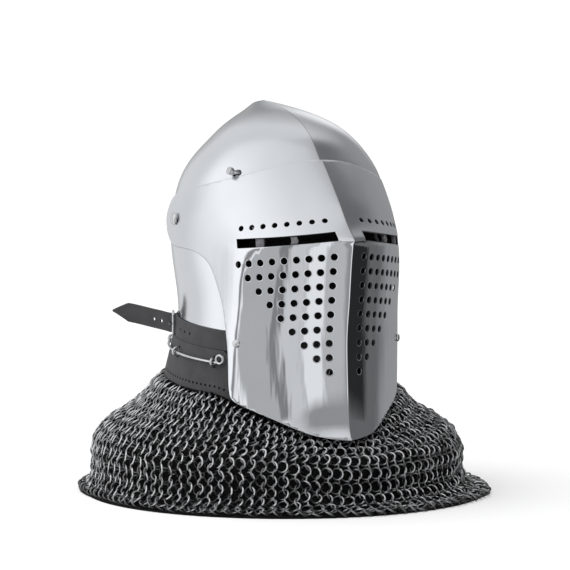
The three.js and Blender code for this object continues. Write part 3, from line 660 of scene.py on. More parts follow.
def grid_piece(name, points, fill=False):
    """A grid laid over rows of points, in millimetres. Ends that meet are merged, and open ones filled if asked."""
    rows, columns = points.shape[:2]
    deselect()
    bpy.ops.mesh.primitive_grid_add(x_subdivisions=columns - 1, y_subdivisions=rows - 1, size=2)
    piece = bpy.context.active_object
    piece.name = piece.data.name = name
    flat = np.zeros(len(piece.data.vertices) * 3)
    piece.data.vertices.foreach_get("co", flat)
    share = (flat.reshape(-1, 3) + 1) / 2
    column = np.rint(share[:, 0] * (columns - 1)).astype(int)
    row = np.rint(share[:, 1] * (rows - 1)).astype(int)
    piece.data.vertices.foreach_set("co", (points[row, column] * MM).ravel())
    piece.data.update()
    ends = [(bpy.ops.mesh.fill_holes, {"sides": 0})] if fill else []
    edit(piece, (bpy.ops.mesh.remove_doubles, {"threshold": 1e-6}), *ends, OUTWARDS)
    return piece


def apply(piece, kind, **settings):
    """Adds a modifier and applies it"""
    activate(piece)
    modifier = piece.modifiers.new(kind.lower(), kind)
    for key, value in settings.items():
        setattr(modifier, key, value)
    bpy.ops.object.modifier_apply(modifier=modifier.name)
    return piece


def cut(piece, cutter):
    """Takes a cutter out of a piece and removes the cutter"""
    apply(piece, "BOOLEAN", operation="DIFFERENCE", solver="EXACT", object=cutter)
    bpy.data.objects.remove(cutter)
    return piece


def join(name, pieces):
    activate(pieces[0])
    for piece in pieces:
        piece.select_set(True)
    bpy.ops.object.join()
    pieces[0].name = pieces[0].data.name = name
    return pieces[0]


def smooth(piece, angle=35.0):
    activate(piece)
    bpy.ops.object.shade_smooth_by_angle(angle=math.radians(angle))
    return piece


def raw_piece(name, points, faces):
    """A piece straight from points in millimetres and faces"""
    mesh = bpy.data.meshes.new(name)
    mesh.from_pydata((np.asarray(points) * MM).tolist(), [], faces)
    mesh.update()
    piece = bpy.data.objects.new(name, mesh)
    bpy.context.scene.collection.objects.link(piece)
    return piece


def cutter(points, sides):
    """Closed cutters in one piece, each between two outlines with this many corners"""
    faces = []
    for start in range(0, len(points), 2 * sides):
        low, high = range(start, start + sides), range(start + sides, start + 2 * sides)
        faces += [tuple(reversed(low)), tuple(high)]
        for i in range(sides):
            j = (i + 1) % sides
            faces.append((low[i], low[j], high[j], high[i]))
    piece = raw_piece("cutter", points, faces)
    edit(piece, OUTWARDS)
    return piece


def prism(outline):
    """A side outline pushed across the helmet, for cutting"""
    return cutter([at(side, forward, z) for side in (ASIDE, -ASIDE) for forward, z in outline], len(outline))


def seated(piece, seat, axis):
    """Turns a piece made upright at the origin to an axis, moves it to its seat and applies that"""
    turn = Vector((0, 0, 1)).rotation_difference(Vector(axis)).to_matrix().to_4x4()
    piece.matrix_world = Matrix.Translation(Vector(seat * MM)) @ turn
    activate(piece)
    bpy.ops.object.transform_apply(location=True, rotation=True, scale=True)
    return piece


def turned_piece(name, profile, sides):
    """A round piece extruded ring by ring from a disc. profile: radius, height"""
    deselect()
    radius, height = profile[0]
    bpy.ops.mesh.primitive_circle_add(
        vertices=sides, radius=radius * MM, fill_type="NGON", location=(0, 0, height * MM))
    piece = bpy.context.active_object
    piece.name = piece.data.name = name
    bpy.ops.object.transform_apply(location=True)
    bpy.ops.object.mode_set(mode="EDIT")
    bpy.ops.mesh.select_all(action="SELECT")
    for wider, higher in profile[1:]:
        step = (0, 0, (higher - height) * MM)
        bpy.ops.mesh.extrude_region_move(TRANSFORM_OT_translate={"value": step})
        share = wider / radius
        bpy.ops.transform.resize(value=(share, share, 1), center_override=(0, 0, higher * MM))
        radius, height = wider, higher
    edit(piece, OUTWARDS)
    return piece


def rings_round(line, side, over, radius, sides):
    """Rings of points round a line, from the directions beside and over it"""
    turns = circle(sides)[:, None]
    over = np.broadcast_to(over, line.shape)
    return line[:, None] + radius * (np.cos(turns) * side[:, None] + np.sin(turns) * over[:, None])


def tube_points(line, radius, sides, closed=False):
    """Rings of points round a line. A closed line meets itself."""
    line = np.asarray(line, float)
    along = np.roll(line, -1, 0) - np.roll(line, 1, 0) if closed else np.gradient(line, axis=0)
    heading = unit(along)
    side = np.cross(heading, UP)
    upright = np.linalg.norm(side, axis=1) < 0.2
    side[upright] = np.cross(heading[upright], [1.0, 0.0, 0.0])
    side = unit(side)
    rings = rings_round(line, side, np.cross(side, heading), radius, sides)
    return np.concatenate([rings, rings[:1]]) if closed else rings


def hoop(middle, radius, wire, first, across, steps):
    """A wire hoop that turns upward from its first direction. across is square to its plane."""
    turns = circle(steps)[:, None]
    line = middle + radius * (np.cos(turns) * first + np.sin(turns) * UP)
    side = np.cross(np.cos(turns) * UP - np.sin(turns) * first, across)
    return rings_round(line, side, across, wire, 12)


def rounded_section(half, thickness, corner, steps=4):
    """A flat section with round corners: across and out, closed"""
    corners = [(1, 1, 0), (-1, 1, 90), (-1, 0, 180), (1, 0, 270)]
    section = []
    for side, top, start in corners:
        centre = (side * (half - corner), thickness - corner if top else corner)
        for i in range(steps):
            angle = math.radians(start + 90 * i / (steps - 1))
            section.append((centre[0] + corner * math.cos(angle), centre[1] + corner * math.sin(angle)))
    section.append(section[0])
    return np.array(section)


def strap_points(low, high, widths, thickness, count, corner=0.6):
    """Sections along a strap between its lower and upper edge lines, outside outwards"""
    low, high = smooth_line(low, count), smooth_line(high, count)
    middle, across = (low + high) / 2, unit(high - low)
    heading = unit(np.gradient(middle, axis=0))
    out = unit(np.cross(across, heading))
    out *= np.sign(np.sum(out * (middle - at(0, 0, middle[:, 2])), axis=1))[:, None]
    rows = []
    for i in range(count):
        section = rounded_section(widths[i] / 2, thickness, min(corner, thickness * 0.45))
        rows.append(middle[i] + section[:, :1] * across[i] + section[:, 1:] * out[i])
    return np.array(rows)


def pegs(places, directions, radius, length, sides):
    """Round cutters joined in one"""
    points = []
    for place, direction in zip(places, directions):
        direction = unit(direction)
        side = unit(np.cross(direction, UP + 0.01))
        over = np.cross(direction, side)
        for end in (-0.5, 0.5):
            for i in range(sides):
                angle = 2 * math.pi * i / sides
                arm = radius * (math.cos(angle) * side + math.sin(angle) * over)
                points.append(place + direction * length * end + arm)
    return cutter(points, sides)


def dress(piece, body, slot, *nodes, finish=None):
    """Gives a piece its finish, body and slot, and says which solids it stands for"""
    if not piece.data.materials:
        piece.data.materials.append(material_of(finish or slot))
    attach(piece, body)
    if nodes:
        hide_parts(*nodes)


def mark(piece, name, values):
    """Keeps a value for each point of a piece, for its finish to read"""
    kept = piece.data.attributes.new(name, "FLOAT", "POINT")
    kept.data.foreach_set("value", np.asarray(values, np.float32))


def places_of(piece):
    """The points of a piece, in millimetres"""
    return np.array([v.co for v in piece.data.vertices]) / MM


def mark_ridge_dark(piece, low, high, fade=6):
    """Marks the front ridge between two heights in millimetres, for a painted dark reflection along it"""
    x, y, z = places_of(piece).T
    line = np.exp(-((x / RIDGE_DARK_HALF) ** 2)) * (y < SHIFT)
    mark(piece, "ridge_painted_dark", line * ease(z, low, low + fade) * (1 - ease(z, high - fade, high)))


def plated(piece, key, thickness, even):
    """Gives a sheet its thickness, bright outside and black inside"""
    piece.data.materials.append(material_of(key))
    piece.data.materials.append(material_of("inside"))
    apply(piece, "SOLIDIFY", thickness=thickness, offset=-1.0, use_even_offset=even, material_offset=1,
          material_offset_rim=1)


def material_of(key):
    """A finish by its slot or name, made on first use"""
    looks = bpy.context.scene.bascinet_finishes
    plate = plate_steel, looks.steel, looks.satin, looks.mirror
    strap = leather, looks.leather, 0.5
    finishes = {
        "skull_steel": plate,
        "visor_steel": plate,
        "fitting_steel": (fitting_steel, looks.fitting),
        "mail_steel": (mail_steel, looks.mail),
        "strap_leather": strap,
        "band_leather": strap,
        # Painted shade: nearly black and with little gloss, for the gaps in the mail
        "shade_lining": (leather, looks.shade_lining, 0.1),
        "inside": (blackened, looks.inside),
        "guard": (blackened, tone(looks.inside, 4.0)),
    }
    name = "finish_" + key
    return bpy.data.materials.get(name) or finished(name, *finishes[key])


# Operators


class BASCINET_OT_skull(bpy.types.Operator):
    """Builds the ridged skull with its face opening"""

    bl_idname = "bascinet.skull"
    bl_label = "Skull"

    def execute(self, context):
        sizes = context.scene.bascinet_sizes
        share = np.linspace(0, 1, 181)
        turn = 2 * math.pi * share - RIDGE_CROWD * np.sin(2 * math.pi * share)
        rows = cubic(SKULL_STATIONS, SKULL_TABLE, np.linspace(0, SKULL_STATIONS[-1], 76))
        points = np.array([oval(*row, z, turn) for z, *row in rows])
        points[-1] = points[-1].mean(axis=0)
        across, z = np.abs(points[..., 0]), points[..., 2]
        cheek = row_at(FACE_ROWS, 2, np.maximum(z, FACE_ROWS[0][0])) - CHEEK_CLEAR
        share = ease(forward_of(points), *CHEEK_FORWARD) * (1 - ease(z, *CHEEK_TOP)) * ease(across, *CHEEK_ASIDE)
        points[..., 0] += np.sign(points[..., 0]) * share * np.maximum(cheek - across, 0)
        piece = grid_piece("skull_bowl", points)
        plated(piece, "skull_steel", sizes.plate, False)
        rear, front = ((f, SKULL_REAR_Z + SKULL_SLOPE * (f - SKULL_REAR)) for f in (-FAR, FAR))
        cut(piece, prism([rear, (-FAR, SKULL_UNDER), (FAR, SKULL_UNDER), front]))
        cut(piece, prism([*smooth_line(FACE_ARCH, 60), (FAR, FACE_ARCH[-1][1]), (FAR, FACE_ARCH[0][1])]))
        places = [at(side * 108, PIVOT_FORWARD, PIVOT_Z) for side in (-1, 1)]
        cut(piece, pegs(places, [np.array([1.0, 0, 0])] * 2, PIVOT_HOLE, 20, 24))
        seat, direction = pin_line()
        cut(piece, pegs([seat], [direction], PIN_HOLE, 22, 24))
        smooth(piece)
        mark_ridge_dark(piece, 300, 386)
        place = places_of(piece)
        edge = np.interp(place[:, 2], *zip(*VISOR_SHADE_EDGE))
        # Painted shade: the skull turns black under the visor, over the 4 mm in front of its edge line
        mark(piece, "painted_visor_shade", ease(forward_of(place), edge, edge + 4) * (place[:, 2] < 300))
        dress(piece, HELMET, "skull_steel", "skull")
        return {"FINISHED"}


# The visor's net, in millimetres of plate: to a radian, clear round holes and edge, lanes from the ridge, heights
ANGLE_SCALE = 115.0
NET_CLEAR = 1.15
NET_LANES = np.concatenate([[0.35, 0.7, 1.1, 1.6, 2.4, 3.5, 5, 7], np.arange(9.6, 262, 2.9)])
NET_HEIGHTS = np.concatenate([np.arange(64, 232, 3.0), np.arange(232, 258, 1.3), np.arange(259, 324, 3.0)])


def visor_loops(sizes):
    """Closed lines cut in the half visor, as angle and height"""
    loops = []

    def round_hole(girth, z, diameter):
        angle = girth_angle(girth, z)
        round_way, up_way = visor_tangents(np.array(angle), np.array(z))
        metric = np.array([[round_way @ round_way, round_way @ up_way], [round_way @ up_way, up_way @ up_way]])
        side = unit(round_way)
        over = unit(up_way - (up_way @ side) * side)
        for radius, rim in ((diameter / 2, True), (diameter / 2 + NET_CLEAR, False)):
            turns = circle(18, False)
            step = radius * (np.cos(turns)[:, None] * side + np.sin(turns)[:, None] * over)
            moved = np.linalg.solve(metric, np.stack([step @ round_way, step @ up_way]))
            loops.append((np.stack([angle + moved[0], z + moved[1]], 1), rim))

    for row, count in enumerate(FACE_HOLES):
        for i in range(count):
            round_hole(HOLE_FIRST + i * HOLE_PITCH, HOLE_TOP - row * HOLE_ROW - i * HOLE_DROP, sizes.breath_hole / MM)
    for i in range(BROW_COUNT):
        round_hole(BROW_FIRST + i * BROW_PITCH, BROW_Z - i * BROW_DROP, sizes.brow_hole / MM)
    round_hole(CHEEK_GIRTH, CHEEK_Z, CHEEK_HOLE)
    for grow, rim in ((0.0, True), (1.1, False)):
        corners = np.array([
            (SLIT_INNER - grow, SLIT_INNER_Z - grow),
            (SLIT_OUTER + grow, SLIT_OUTER_Z - grow),
            (SLIT_OUTER + grow, SLIT_OUTER_Z + SLIT_HEIGHT + grow),
            (SLIT_INNER - grow, SLIT_INNER_Z + SLIT_HEIGHT + grow),
        ])
        line = []
        for start, end in zip(corners, np.roll(corners, -1, 0)):
            count = max(2, int(np.linalg.norm(end - start) / 1.6))
            line += [start + (end - start) * i / count for i in range(count)]
        line = np.array(line)
        angle = solve_angle(-line[:, 0], line[:, 1], inward_of, SLIT_TURN)
        loops.append((np.stack([angle, line[:, 1]], 1), rim))
    pivot = circle(24, False)
    line = np.stack([PIVOT_FORWARD + PIVOT_BORE * np.cos(pivot), PIVOT_Z + PIVOT_BORE * np.sin(pivot)], 1)
    angle = solve_angle(line[:, 0], line[:, 1], forward_of)
    loops.append((np.stack([angle, line[:, 1]], 1), True))
    return loops


def inside(points, outline):
    """Which points lie inside a closed outline"""
    x, y = points[:, :1], points[:, 1:]
    (x0, y0), (x1, y1) = outline.T, np.roll(outline, -1, 0).T
    crosses = (y0 > y) != (y1 > y)
    with np.errstate(divide="ignore", invalid="ignore"):
        hit = x < (x1 - x0) * (y - y0) / (y1 - y0) + x0
    return np.sum(crosses & hit, axis=1) % 2 == 1


def near(points, line, distance):
    """Which points lie near any point of a line"""
    gap = np.min(np.linalg.norm(points[:, None] - line[None], axis=2), axis=1)
    return gap < distance


def visor_net(sizes):
    """Angle, height and triangles of half the visor, holes left open"""
    edge = smooth_line(VISOR_EDGE, 230)
    edge_angle = solve_angle(edge[:, 0], edge[:, 1], forward_of)
    edge_angle[[0, -1]] = 0.0
    edge_angle[edge_angle < 0.004] = 0.0
    first = np.nonzero(edge_angle > 0)[0]
    edge, edge_angle = edge[first[0] - 1 : first[-1] + 2], edge_angle[first[0] - 1 : first[-1] + 2]
    bottom, top = edge[-1, 1], edge[0, 1]
    ridge_z = NET_HEIGHTS[(NET_HEIGHTS > bottom + 1) & (NET_HEIGHTS < top - 1)]
    outline = np.concatenate([
        np.stack([edge_angle, edge[:, 1]], 1),
        np.stack([np.zeros(len(ridge_z)), ridge_z], 1),
    ]) * [ANGLE_SCALE, 1]
    points, edges, rims = [outline], [], []
    count = len(outline)
    edges += [(i, (i + 1) % count) for i in range(count)]
    kept_loops = []
    for line, rim in visor_loops(sizes):
        line = line * [ANGLE_SCALE, 1]
        if rim:
            edges += [(count + i, count + (i + 1) % len(line)) for i in range(len(line))]
            rims.append(set(range(count, count + len(line))))
        else:
            line = line[inside(line, outline) & ~near(line, outline, 0.8)]
            line = line[~np.any([near(line, other, 0.55) for other in kept_loops], axis=0)]
        kept_loops.append(line)
        points.append(line)
        count += len(line)
    net = np.stack(np.meshgrid(NET_LANES, NET_HEIGHTS), -1).reshape(-1, 2)
    net = net[inside(net, outline)]
    net = net[~near(net, outline[: len(edge)], NET_CLEAR)]
    for line in kept_loops:
        net = net[~near(net, line, NET_CLEAR) & ~inside(net, line)]
    points = np.concatenate([*points, net])
    made = delaunay_2d_cdt([Vector(p) for p in points], edges, [], 0, 1e-5)
    verts = np.array([tuple(v) for v in made[0]])
    origin = [set(o) for o in made[3]]
    faces = np.array(made[2])
    keep = inside(verts[faces].mean(axis=1), outline)
    owner = {}
    for i, ids in enumerate(origin):
        for k, rim in enumerate(rims):
            if ids & rim:
                owner[i] = k
    for i, face in enumerate(faces):
        owners = {owner.get(v, -1 - n) for n, v in enumerate(face)}
        if len(owners) == 1:
            keep[i] = False
    verts[:, 0] /= ANGLE_SCALE
    return verts, faces[keep]


def guard_bars(sizes):
    """Builds the bars behind the eye slits"""
    bars = []
    z = np.linspace(GUARD_LOW, GUARD_HIGH, 22)
    for place in GUARD_PLACES:
        for side in (-1, 1):
            edges = []
            for across in (-1, 1):
                angle = solve_angle(-(place + side * across * GUARD_WIDTH / 2), z, inward_of, SLIT_TURN)
                out = visor_out(angle, z)
                front = visor_point(angle, z) - out * (sizes.visor_plate / MM + GUARD_CLEAR)
                edges.append((front, front - out * GUARD_DEPTH))
            (near_front, near_back), (far_front, far_back) = edges
            section = np.stack([near_front, far_front, far_back, near_back, near_front], 1)
            section[..., 0] *= side
            bars.append(grid_piece("guard_bar", section, fill=True))
    piece = join("visor_guard_bars", bars)
    apply(piece, "BEVEL", width=0.0006, segments=2, limit_method="ANGLE", angle_limit=math.radians(40))
    dress(smooth(piece), VISOR, "visor_steel", finish="guard")


class BASCINET_OT_visor(bpy.types.Operator):
    """Builds the pierced visor and the guard bars behind its slits"""

    bl_idname = "bascinet.visor"
    bl_label = "Visor"

    def execute(self, context):
        sizes = context.scene.bascinet_sizes
        net, faces = visor_net(sizes)
        piece = raw_piece("visor_shell", visor_point(*net.T), faces.tolist())
        mark(piece, "face_polish", is_face(*net.T))
        mark_ridge_dark(piece, 250, 330)
        edit(piece, (bpy.ops.mesh.delete_loose, {}))
        apply(piece, "MIRROR", use_axis=(True, False, False), merge_threshold=1e-5)
        plated(piece, "visor_steel", sizes.visor_plate, True)
        apply(piece, "BEVEL", width=sizes.chamfer, segments=2, limit_method="ANGLE", angle_limit=math.radians(50),
              use_clamp_overlap=False, harden_normals=False)
        # Painted shadow: the chamfer faces along the visor's rear edge take the black inside finish, for the gap's
        # shadow
        place = places_of(piece)
        line = smooth_line(VISOR_EDGE, 900)
        line = line[(line[:, 0] < EDGE_FRONT) & (line[:, 1] < EDGE_TOP)]
        shadow_faces = near(np.stack([forward_of(place), place[:, 2]], 1), line, EDGE_SHADOW_WIDTH)
        for face in piece.data.polygons:
            if shadow_faces[list(face.vertices)].all():
                face.material_index = 1
        dress(smooth(piece, 32), VISOR, "visor_steel", "visor")
        guard_bars(sizes)
        return {"FINISHED"}


def rivet(name, profile, sides, seat, axis, body, node):
    piece = seated(turned_piece(name, profile, sides), seat, axis)
    dress(smooth(piece, 40), body, "fitting_steel", node)


class BASCINET_OT_rivets(bpy.types.Operator):
    """Builds the pivot rivets and the cheek rivets"""

    bl_idname = "bascinet.rivets"
    bl_label = "Rivets"

    def execute(self, context):
        angle, height = np.array(girth_angle(CHEEK_GIRTH, CHEEK_Z)), np.array(CHEEK_Z)
        out = visor_out(angle, height)
        cheek = visor_point(angle, height) + out * GAP
        for name, side in (("right", -1), ("left", 1)):
            pivot = at(side * PIVOT_SEAT, PIVOT_FORWARD, PIVOT_Z)
            rivet("pivot_rivet_dome_" + name, PIVOT_PROFILE, 40, pivot, (side, 0, 0), HELMET, "pivot_rivet_" + name)
            flip = np.array([side, 1, 1])
            rivet("cheek_rivet_dome_" + name, CHEEK_PROFILE, 28, cheek * flip, tuple(out * flip), VISOR,
                  "cheek_rivet_" + name)
        return {"FINISHED"}


def pin_line():
    """Seat of the lock pin on the skull, and its direction"""
    return on_skull(PIN_TURN, PIN_Z)[0], unit(np.array(PIN_WAY))


class BASCINET_OT_lock_pin(bpy.types.Operator):
    """Builds the lock pin on its leaf spring"""

    bl_idname = "bascinet.lock_pin"
    bl_label = "Lock pin"

    def execute(self, context):
        seat, direction = pin_line()
        profile = [(PIN_HEAD[0][0], -PIN_IN)] + [(radius, PIN_OUT + rise) for radius, rise in PIN_HEAD]
        pin = seated(turned_piece("pin", profile, 28), seat, tuple(direction))
        turns = np.linspace(PIN_TURN + 4, PIN_TURN - 30, 24)
        low, high = (on_skull(turns, PIN_Z + rise, LEAF_SEAT)[0] for rise in (-LEAF_WIDTH / 2, LEAF_WIDTH / 2))
        rows = strap_points(low, high, np.full(24, LEAF_WIDTH), LEAF_THICKNESS, 24, 0.3)
        leaf = grid_piece("leaf", rows, fill=True)
        piece = smooth(join("lock_pin_spring", [pin, leaf]), 40)
        dress(piece, HELMET, "fitting_steel", "lock_pin")
        anchor = (seat - direction * PIN_IN) * MM
        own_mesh(piece)
        return {"FINISHED"}


def tongue_strap(width, thickness):
    """Builds the strap that lies on the skull, passes the buckle and stands off in a pointed tail"""
    low, high = strap_edges(np.arange(-STRAP_END, BUCKLE_TURN + 9, -4.0), width, GAP)
    air = np.array([at_buckle(along, out - thickness / 2, rise) for along, out, rise in TONGUE_PATH])
    low, high = np.concatenate([low, air - UP * width / 2]), np.concatenate([high, air + UP * width / 2])
    count = 150
    length = along_chords(smooth_line((low + high) / 2, count))
    widths = width * np.clip(0.1 + 0.9 * (length[-1] - length) / TAIL_POINT, 0, 1)
    piece = grid_piece("tongue_strap_leather", strap_points(low, high, widths, thickness, count), fill=True)
    places, ways = [], []
    for turn in STRAP_HOLES:
        place, _, out = on_skull(turn, strap_height(turn), 1.5)
        places.append(place)
        ways.append(out)
    for along, out, rise in TAIL_HOLES:
        places.append(at_buckle(along, out, rise))
        ways.append(at_buckle(along - 7, out + 4, rise) - at_buckle(along + 7, out - 4, rise))
    cut(piece, pegs(places, ways, STRAP_HOLE, 12, 14))
    dress(smooth(piece, 50), HELMET, "strap_leather", "tongue_strap")


def buckle_strap(width):
    """Builds the strap round the back of the skull, looped round the buckle's hinge"""
    loop = [round_hinge(CHAPE_LOOP, math.radians(angle)) for angle in range(40, 271, 23)]
    loop = np.array(loop + [at_buckle(13.5, 0.75, 0)])
    low, high = strap_edges(np.arange(BUCKLE_TURN - 12, STRAP_END - 360.1, -6.0), width, GAP + CHAPE / 2)
    low = smooth_line(np.concatenate([loop - UP * width / 2, low]), 240)
    high = smooth_line(np.concatenate([loop + UP * width / 2, high]), 240)
    middle, across = (low + high) / 2, unit(high - low)
    out = np.cross(unit(np.gradient(middle, axis=0)), across)
    section = rounded_section(width / 2, CHAPE, 0.6)
    rows = middle[:, None] + section[:, :1] * across[:, None] + (section[:, 1:] - CHAPE / 2) * out[:, None]
    piece = grid_piece("buckle_strap_leather", rows, fill=True)
    dress(smooth(piece, 50), HELMET, "strap_leather", "buckle_strap")


class BASCINET_OT_straps(bpy.types.Operator):
    """Builds the tongue strap with its holes, and the buckle strap"""

    bl_idname = "bascinet.straps"
    bl_label = "Straps"

    def execute(self, context):
        sizes = context.scene.bascinet_sizes
        tongue_strap(sizes.strap_width / MM, sizes.strap_thickness / MM)
        buckle_strap(sizes.strap_width / MM)
        return {"FINISHED"}


class BASCINET_OT_buckle(bpy.types.Operator):
    """Builds the buckle's frame and prong"""

    bl_idname = "bascinet.buckle"
    bl_label = "Buckle"

    def execute(self, context):
        half_l, half_h = (BUCKLE_LENGTH - BUCKLE_BAR) / 2, (BUCKLE_HEIGHT - BUCKLE_BAR) / 2
        outline = []
        for along, rise, start in ((1, 1, 0), (-1, 1, 90), (-1, -1, 180), (1, -1, 270)):
            for i in range(7):
                turn = math.radians(start + 15 * i)
                outline.append((along * (half_l - BUCKLE_CORNER) + BUCKLE_CORNER * math.cos(turn),
                                rise * (half_h - BUCKLE_CORNER) + BUCKLE_CORNER * math.sin(turn)))
        line = []
        for (a, b), (c, d) in zip(outline, outline[1:] + outline[:1]):
            steps = max(1, int(math.hypot(c - a, d - b) / 2))
            line += [at_buckle(a + (c - a) * i / steps, HINGE_OUT, b + (d - b) * i / steps) for i in range(steps)]
        line = np.array(line)
        out = unit(on_skull(BUCKLE_TURN, strap_height(BUCKLE_TURN))[2])
        side = unit(np.cross(unit(np.roll(line, -1, 0) - np.roll(line, 1, 0)), out))
        rings = rings_round(line, side, out, BAR_WIRE, 14)
        bar = grid_piece("buckle_frame_bar", np.concatenate([rings, rings[:1]]))
        dress(smooth(bar, 60), HELMET, "fitting_steel", "buckle_frame")
        eye = [round_hinge(PRONG_EYE, turn) for turn in circle(28, False)]
        ring = grid_piece("eye", tube_points(eye, EYE_WIRE, 10, closed=True))
        path = [at_buckle(along, out, 0) for along, out in ((HINGE_ALONG, HINGE_OUT + PRONG_EYE), *PRONG_PATH)]
        point = grid_piece("point", tube_points(smooth_line(path, 20), PRONG_WIRE, 12), fill=True)
        prong = smooth(join("buckle_prong_wire", [ring, point]), 50)
        dress(prong, HELMET, "fitting_steel", "buckle_prong")
        return {"FINISHED"}


class BASCINET_OT_band(bpy.types.Operator):
    """Builds the leather band with its slots and stitch holes"""

    bl_idname = "bascinet.band"
    bl_label = "Leather band"

    def execute(self, context):
        sizes = context.scene.bascinet_sizes
        thickness = sizes.band_thickness / MM
        turns = np.linspace(0, 360, 181)
        bottom = band_bottom(turns)
        strap = strap_height(turns) - sizes.strap_width / MM / 2 + BAND_LAP
        under = np.abs((turns + 180) % 360 - 180) > STRAP_END
        top = np.where(under, strap, bottom + BAND_HEIGHT + BAND_TUCK)
        rows = []
        for turn, low, high in zip(turns, bottom, top):
            section = rounded_section((high - low) / 2, thickness, 0.8)
            rows.append(on_skull(turn, (low + high) / 2 + section[:, 0], 2 * GAP + section[:, 1])[0])
        rows[-1] = rows[0]
        piece = grid_piece("aventail_band_leather", np.array(rows))
        half_width, half_depth, half_height = SLOT
        for turn in vervelle_turns():
            place, along, out = at_vervelle(turn, thickness)
            cut(piece, cutter([
                place + along * a * half_width + out * b * half_depth + UP * c * half_height
                for c in (-1, 1) for a, b in ((-1, -1), (1, -1), (1, 1), (-1, 1))], 4))

        def stitch_line(turns):
            return on_skull(turns, band_bottom(turns) + STITCH_RISE, 2 * GAP + thickness)

        dense = np.linspace(0, 360, 1441)
        travelled = along_chords(stitch_line(dense)[0])
        count = int(travelled[-1] / (sizes.stitch / MM))
        places, _, ways = stitch_line(np.interp(np.arange(count) * travelled[-1] / count, travelled, dense))
        cut(piece, pegs(places, ways, STITCH_HOLE, 4.0, 8))
        dress(smooth(piece, 45), HELMET, "band_leather", "aventail_band")
        return {"FINISHED"}


def vervelle_turns():
    return [-turn for turn in VERVELLE_TURNS] + list(reversed(VERVELLE_TURNS))


class BASCINET_OT_vervelles(bpy.types.Operator):
    """Builds the staples and the wire through them"""

    bl_idname = "bascinet.vervelles"
    bl_label = "Vervelles and wire"

    def execute(self, context):
        offset = GAP + VERVELLE_WIRE + VERVELLE_RING
        for i, turn in enumerate(vervelle_turns(), 1):
            place, along, out = at_vervelle(turn, offset)
            staple = grid_piece(f"vervelle_loop_{i}", hoop(place, VERVELLE_RING, VERVELLE_WIRE, out, along, 28))
            dress(smooth(staple, 60), HELMET, "fitting_steel", f"vervelle_{i}")
        reach = VERVELLE_TURNS[0] - WIRE_PAST
        offset += 3 * GAP
        line = at_vervelle(np.linspace(reach, 360 - reach, 160), offset)[0]
        wire = grid_piece("run", tube_points(line, WIRE_RADIUS, 12), fill=True)
        place, along, out = at_vervelle(360 - reach, offset)
        middle = place + UP * WIRE_EYE + out * 2 * GAP
        eye = grid_piece("eye", hoop(middle, WIRE_EYE, WIRE_RADIUS, along, out, 32))
        wire = smooth(join("vervelle_wire_run", [wire, eye]), 60)
        dress(wire, HELMET, "fitting_steel", "vervelle_wire")
        return {"FINISHED"}


def mail_lines(count):
    """For each column round the mail: its spoke's heading and its fall, as radius and height"""
    dense = np.linspace(0, 360, 1441)
    top = on_skull(dense, band_bottom(dense), 2 * GAP + 1.5)[0]
    hub = at(0, MAIL_MIDDLE, 0)
    spoke = top - hub
    heading = np.unwrap(np.arctan2(spoke[:, 0], -spoke[:, 1]))
    radius = np.hypot(spoke[:, 0], spoke[:, 1])
    lines = []
    for ask in heading[0] + 2 * math.pi * (np.arange(count) + 0.5) / count:
        start, start_z = np.interp(ask, heading, radius), np.interp(ask, heading, top[:, 2]) - MAIL_WALL / 2 - 2 * GAP
        stretch = MAIL_FRONT * max(0.0, math.cos(ask))
        sag = math.cos(ask - math.radians(MAIL_SAG)) ** 2
        fall = [(start + (MAIL_BULGE - start) * (out + (slack - out) * sag),
                 start_z + (MAIL_BULGE_Z - start_z) * down) for out, down, slack in MAIL_FALL]
        fall += [(r * (1 + stretch * reach), z) for r, z, reach in MAIL_HEM]
        lines.append((ask, smooth_line(fall, 240)))
    return hub, lines


def spoke_ways(heading):
    """Outward and sideways directions of a spoke"""
    side, front = math.sin(heading), math.cos(heading)
    return np.array([side, -front, 0.0]), np.array([front, side, 0.0])


def ring_model(ring, wire):
    """Points and faces of one mail ring, flat at the origin"""
    deselect()
    bpy.ops.mesh.primitive_torus_add(major_segments=14, minor_segments=4, major_radius=ring, minor_radius=wire)
    model = bpy.context.active_object
    shape = np.array([v.co for v in model.data.vertices])
    faces = np.array([tuple(p.vertices) for p in model.data.polygons])
    bpy.data.objects.remove(model)
    return shape, faces


def mail_shade_lining():
    """Builds the leather behind the rings, hung from the band, nearly black as painted shade for the gaps"""
    hub, lines = mail_lines(180)
    rows = []
    for heading, fall in lines:
        spoke, level = spoke_ways(heading)
        line = np.concatenate([fall[::4], fall[-1:]])
        way = unit(np.gradient(line, axis=0))
        out = np.cross(way[:, :1] * spoke + way[:, 1:] * UP, level)
        sewn = hub + spoke * line[0, 0] + UP * (line[0, 1] + LINING_RISE)
        rows.append(np.vstack([sewn, hub + line[:, :1] * spoke + line[:, 1:] * UP - out * LINING_BEHIND]))
    rows = np.array(rows + rows[:1])
    rows[..., 2] = np.maximum(rows[..., 2], 0.2)
    shade_lining = grid_piece("mail_shade_lining", rows)
    apply(shade_lining, "SOLIDIFY", thickness=0.9 * MM, offset=1.0)
    smooth(shade_lining, 50)
    dress(shade_lining, HELMET, "band_leather", "mail_aventail", finish="shade_lining")
    area = sum(face.area for face in shade_lining.data.polygons) / 2
    flat = (area / LINING_LENGTH * LINING_FLARE, LINING_LENGTH)


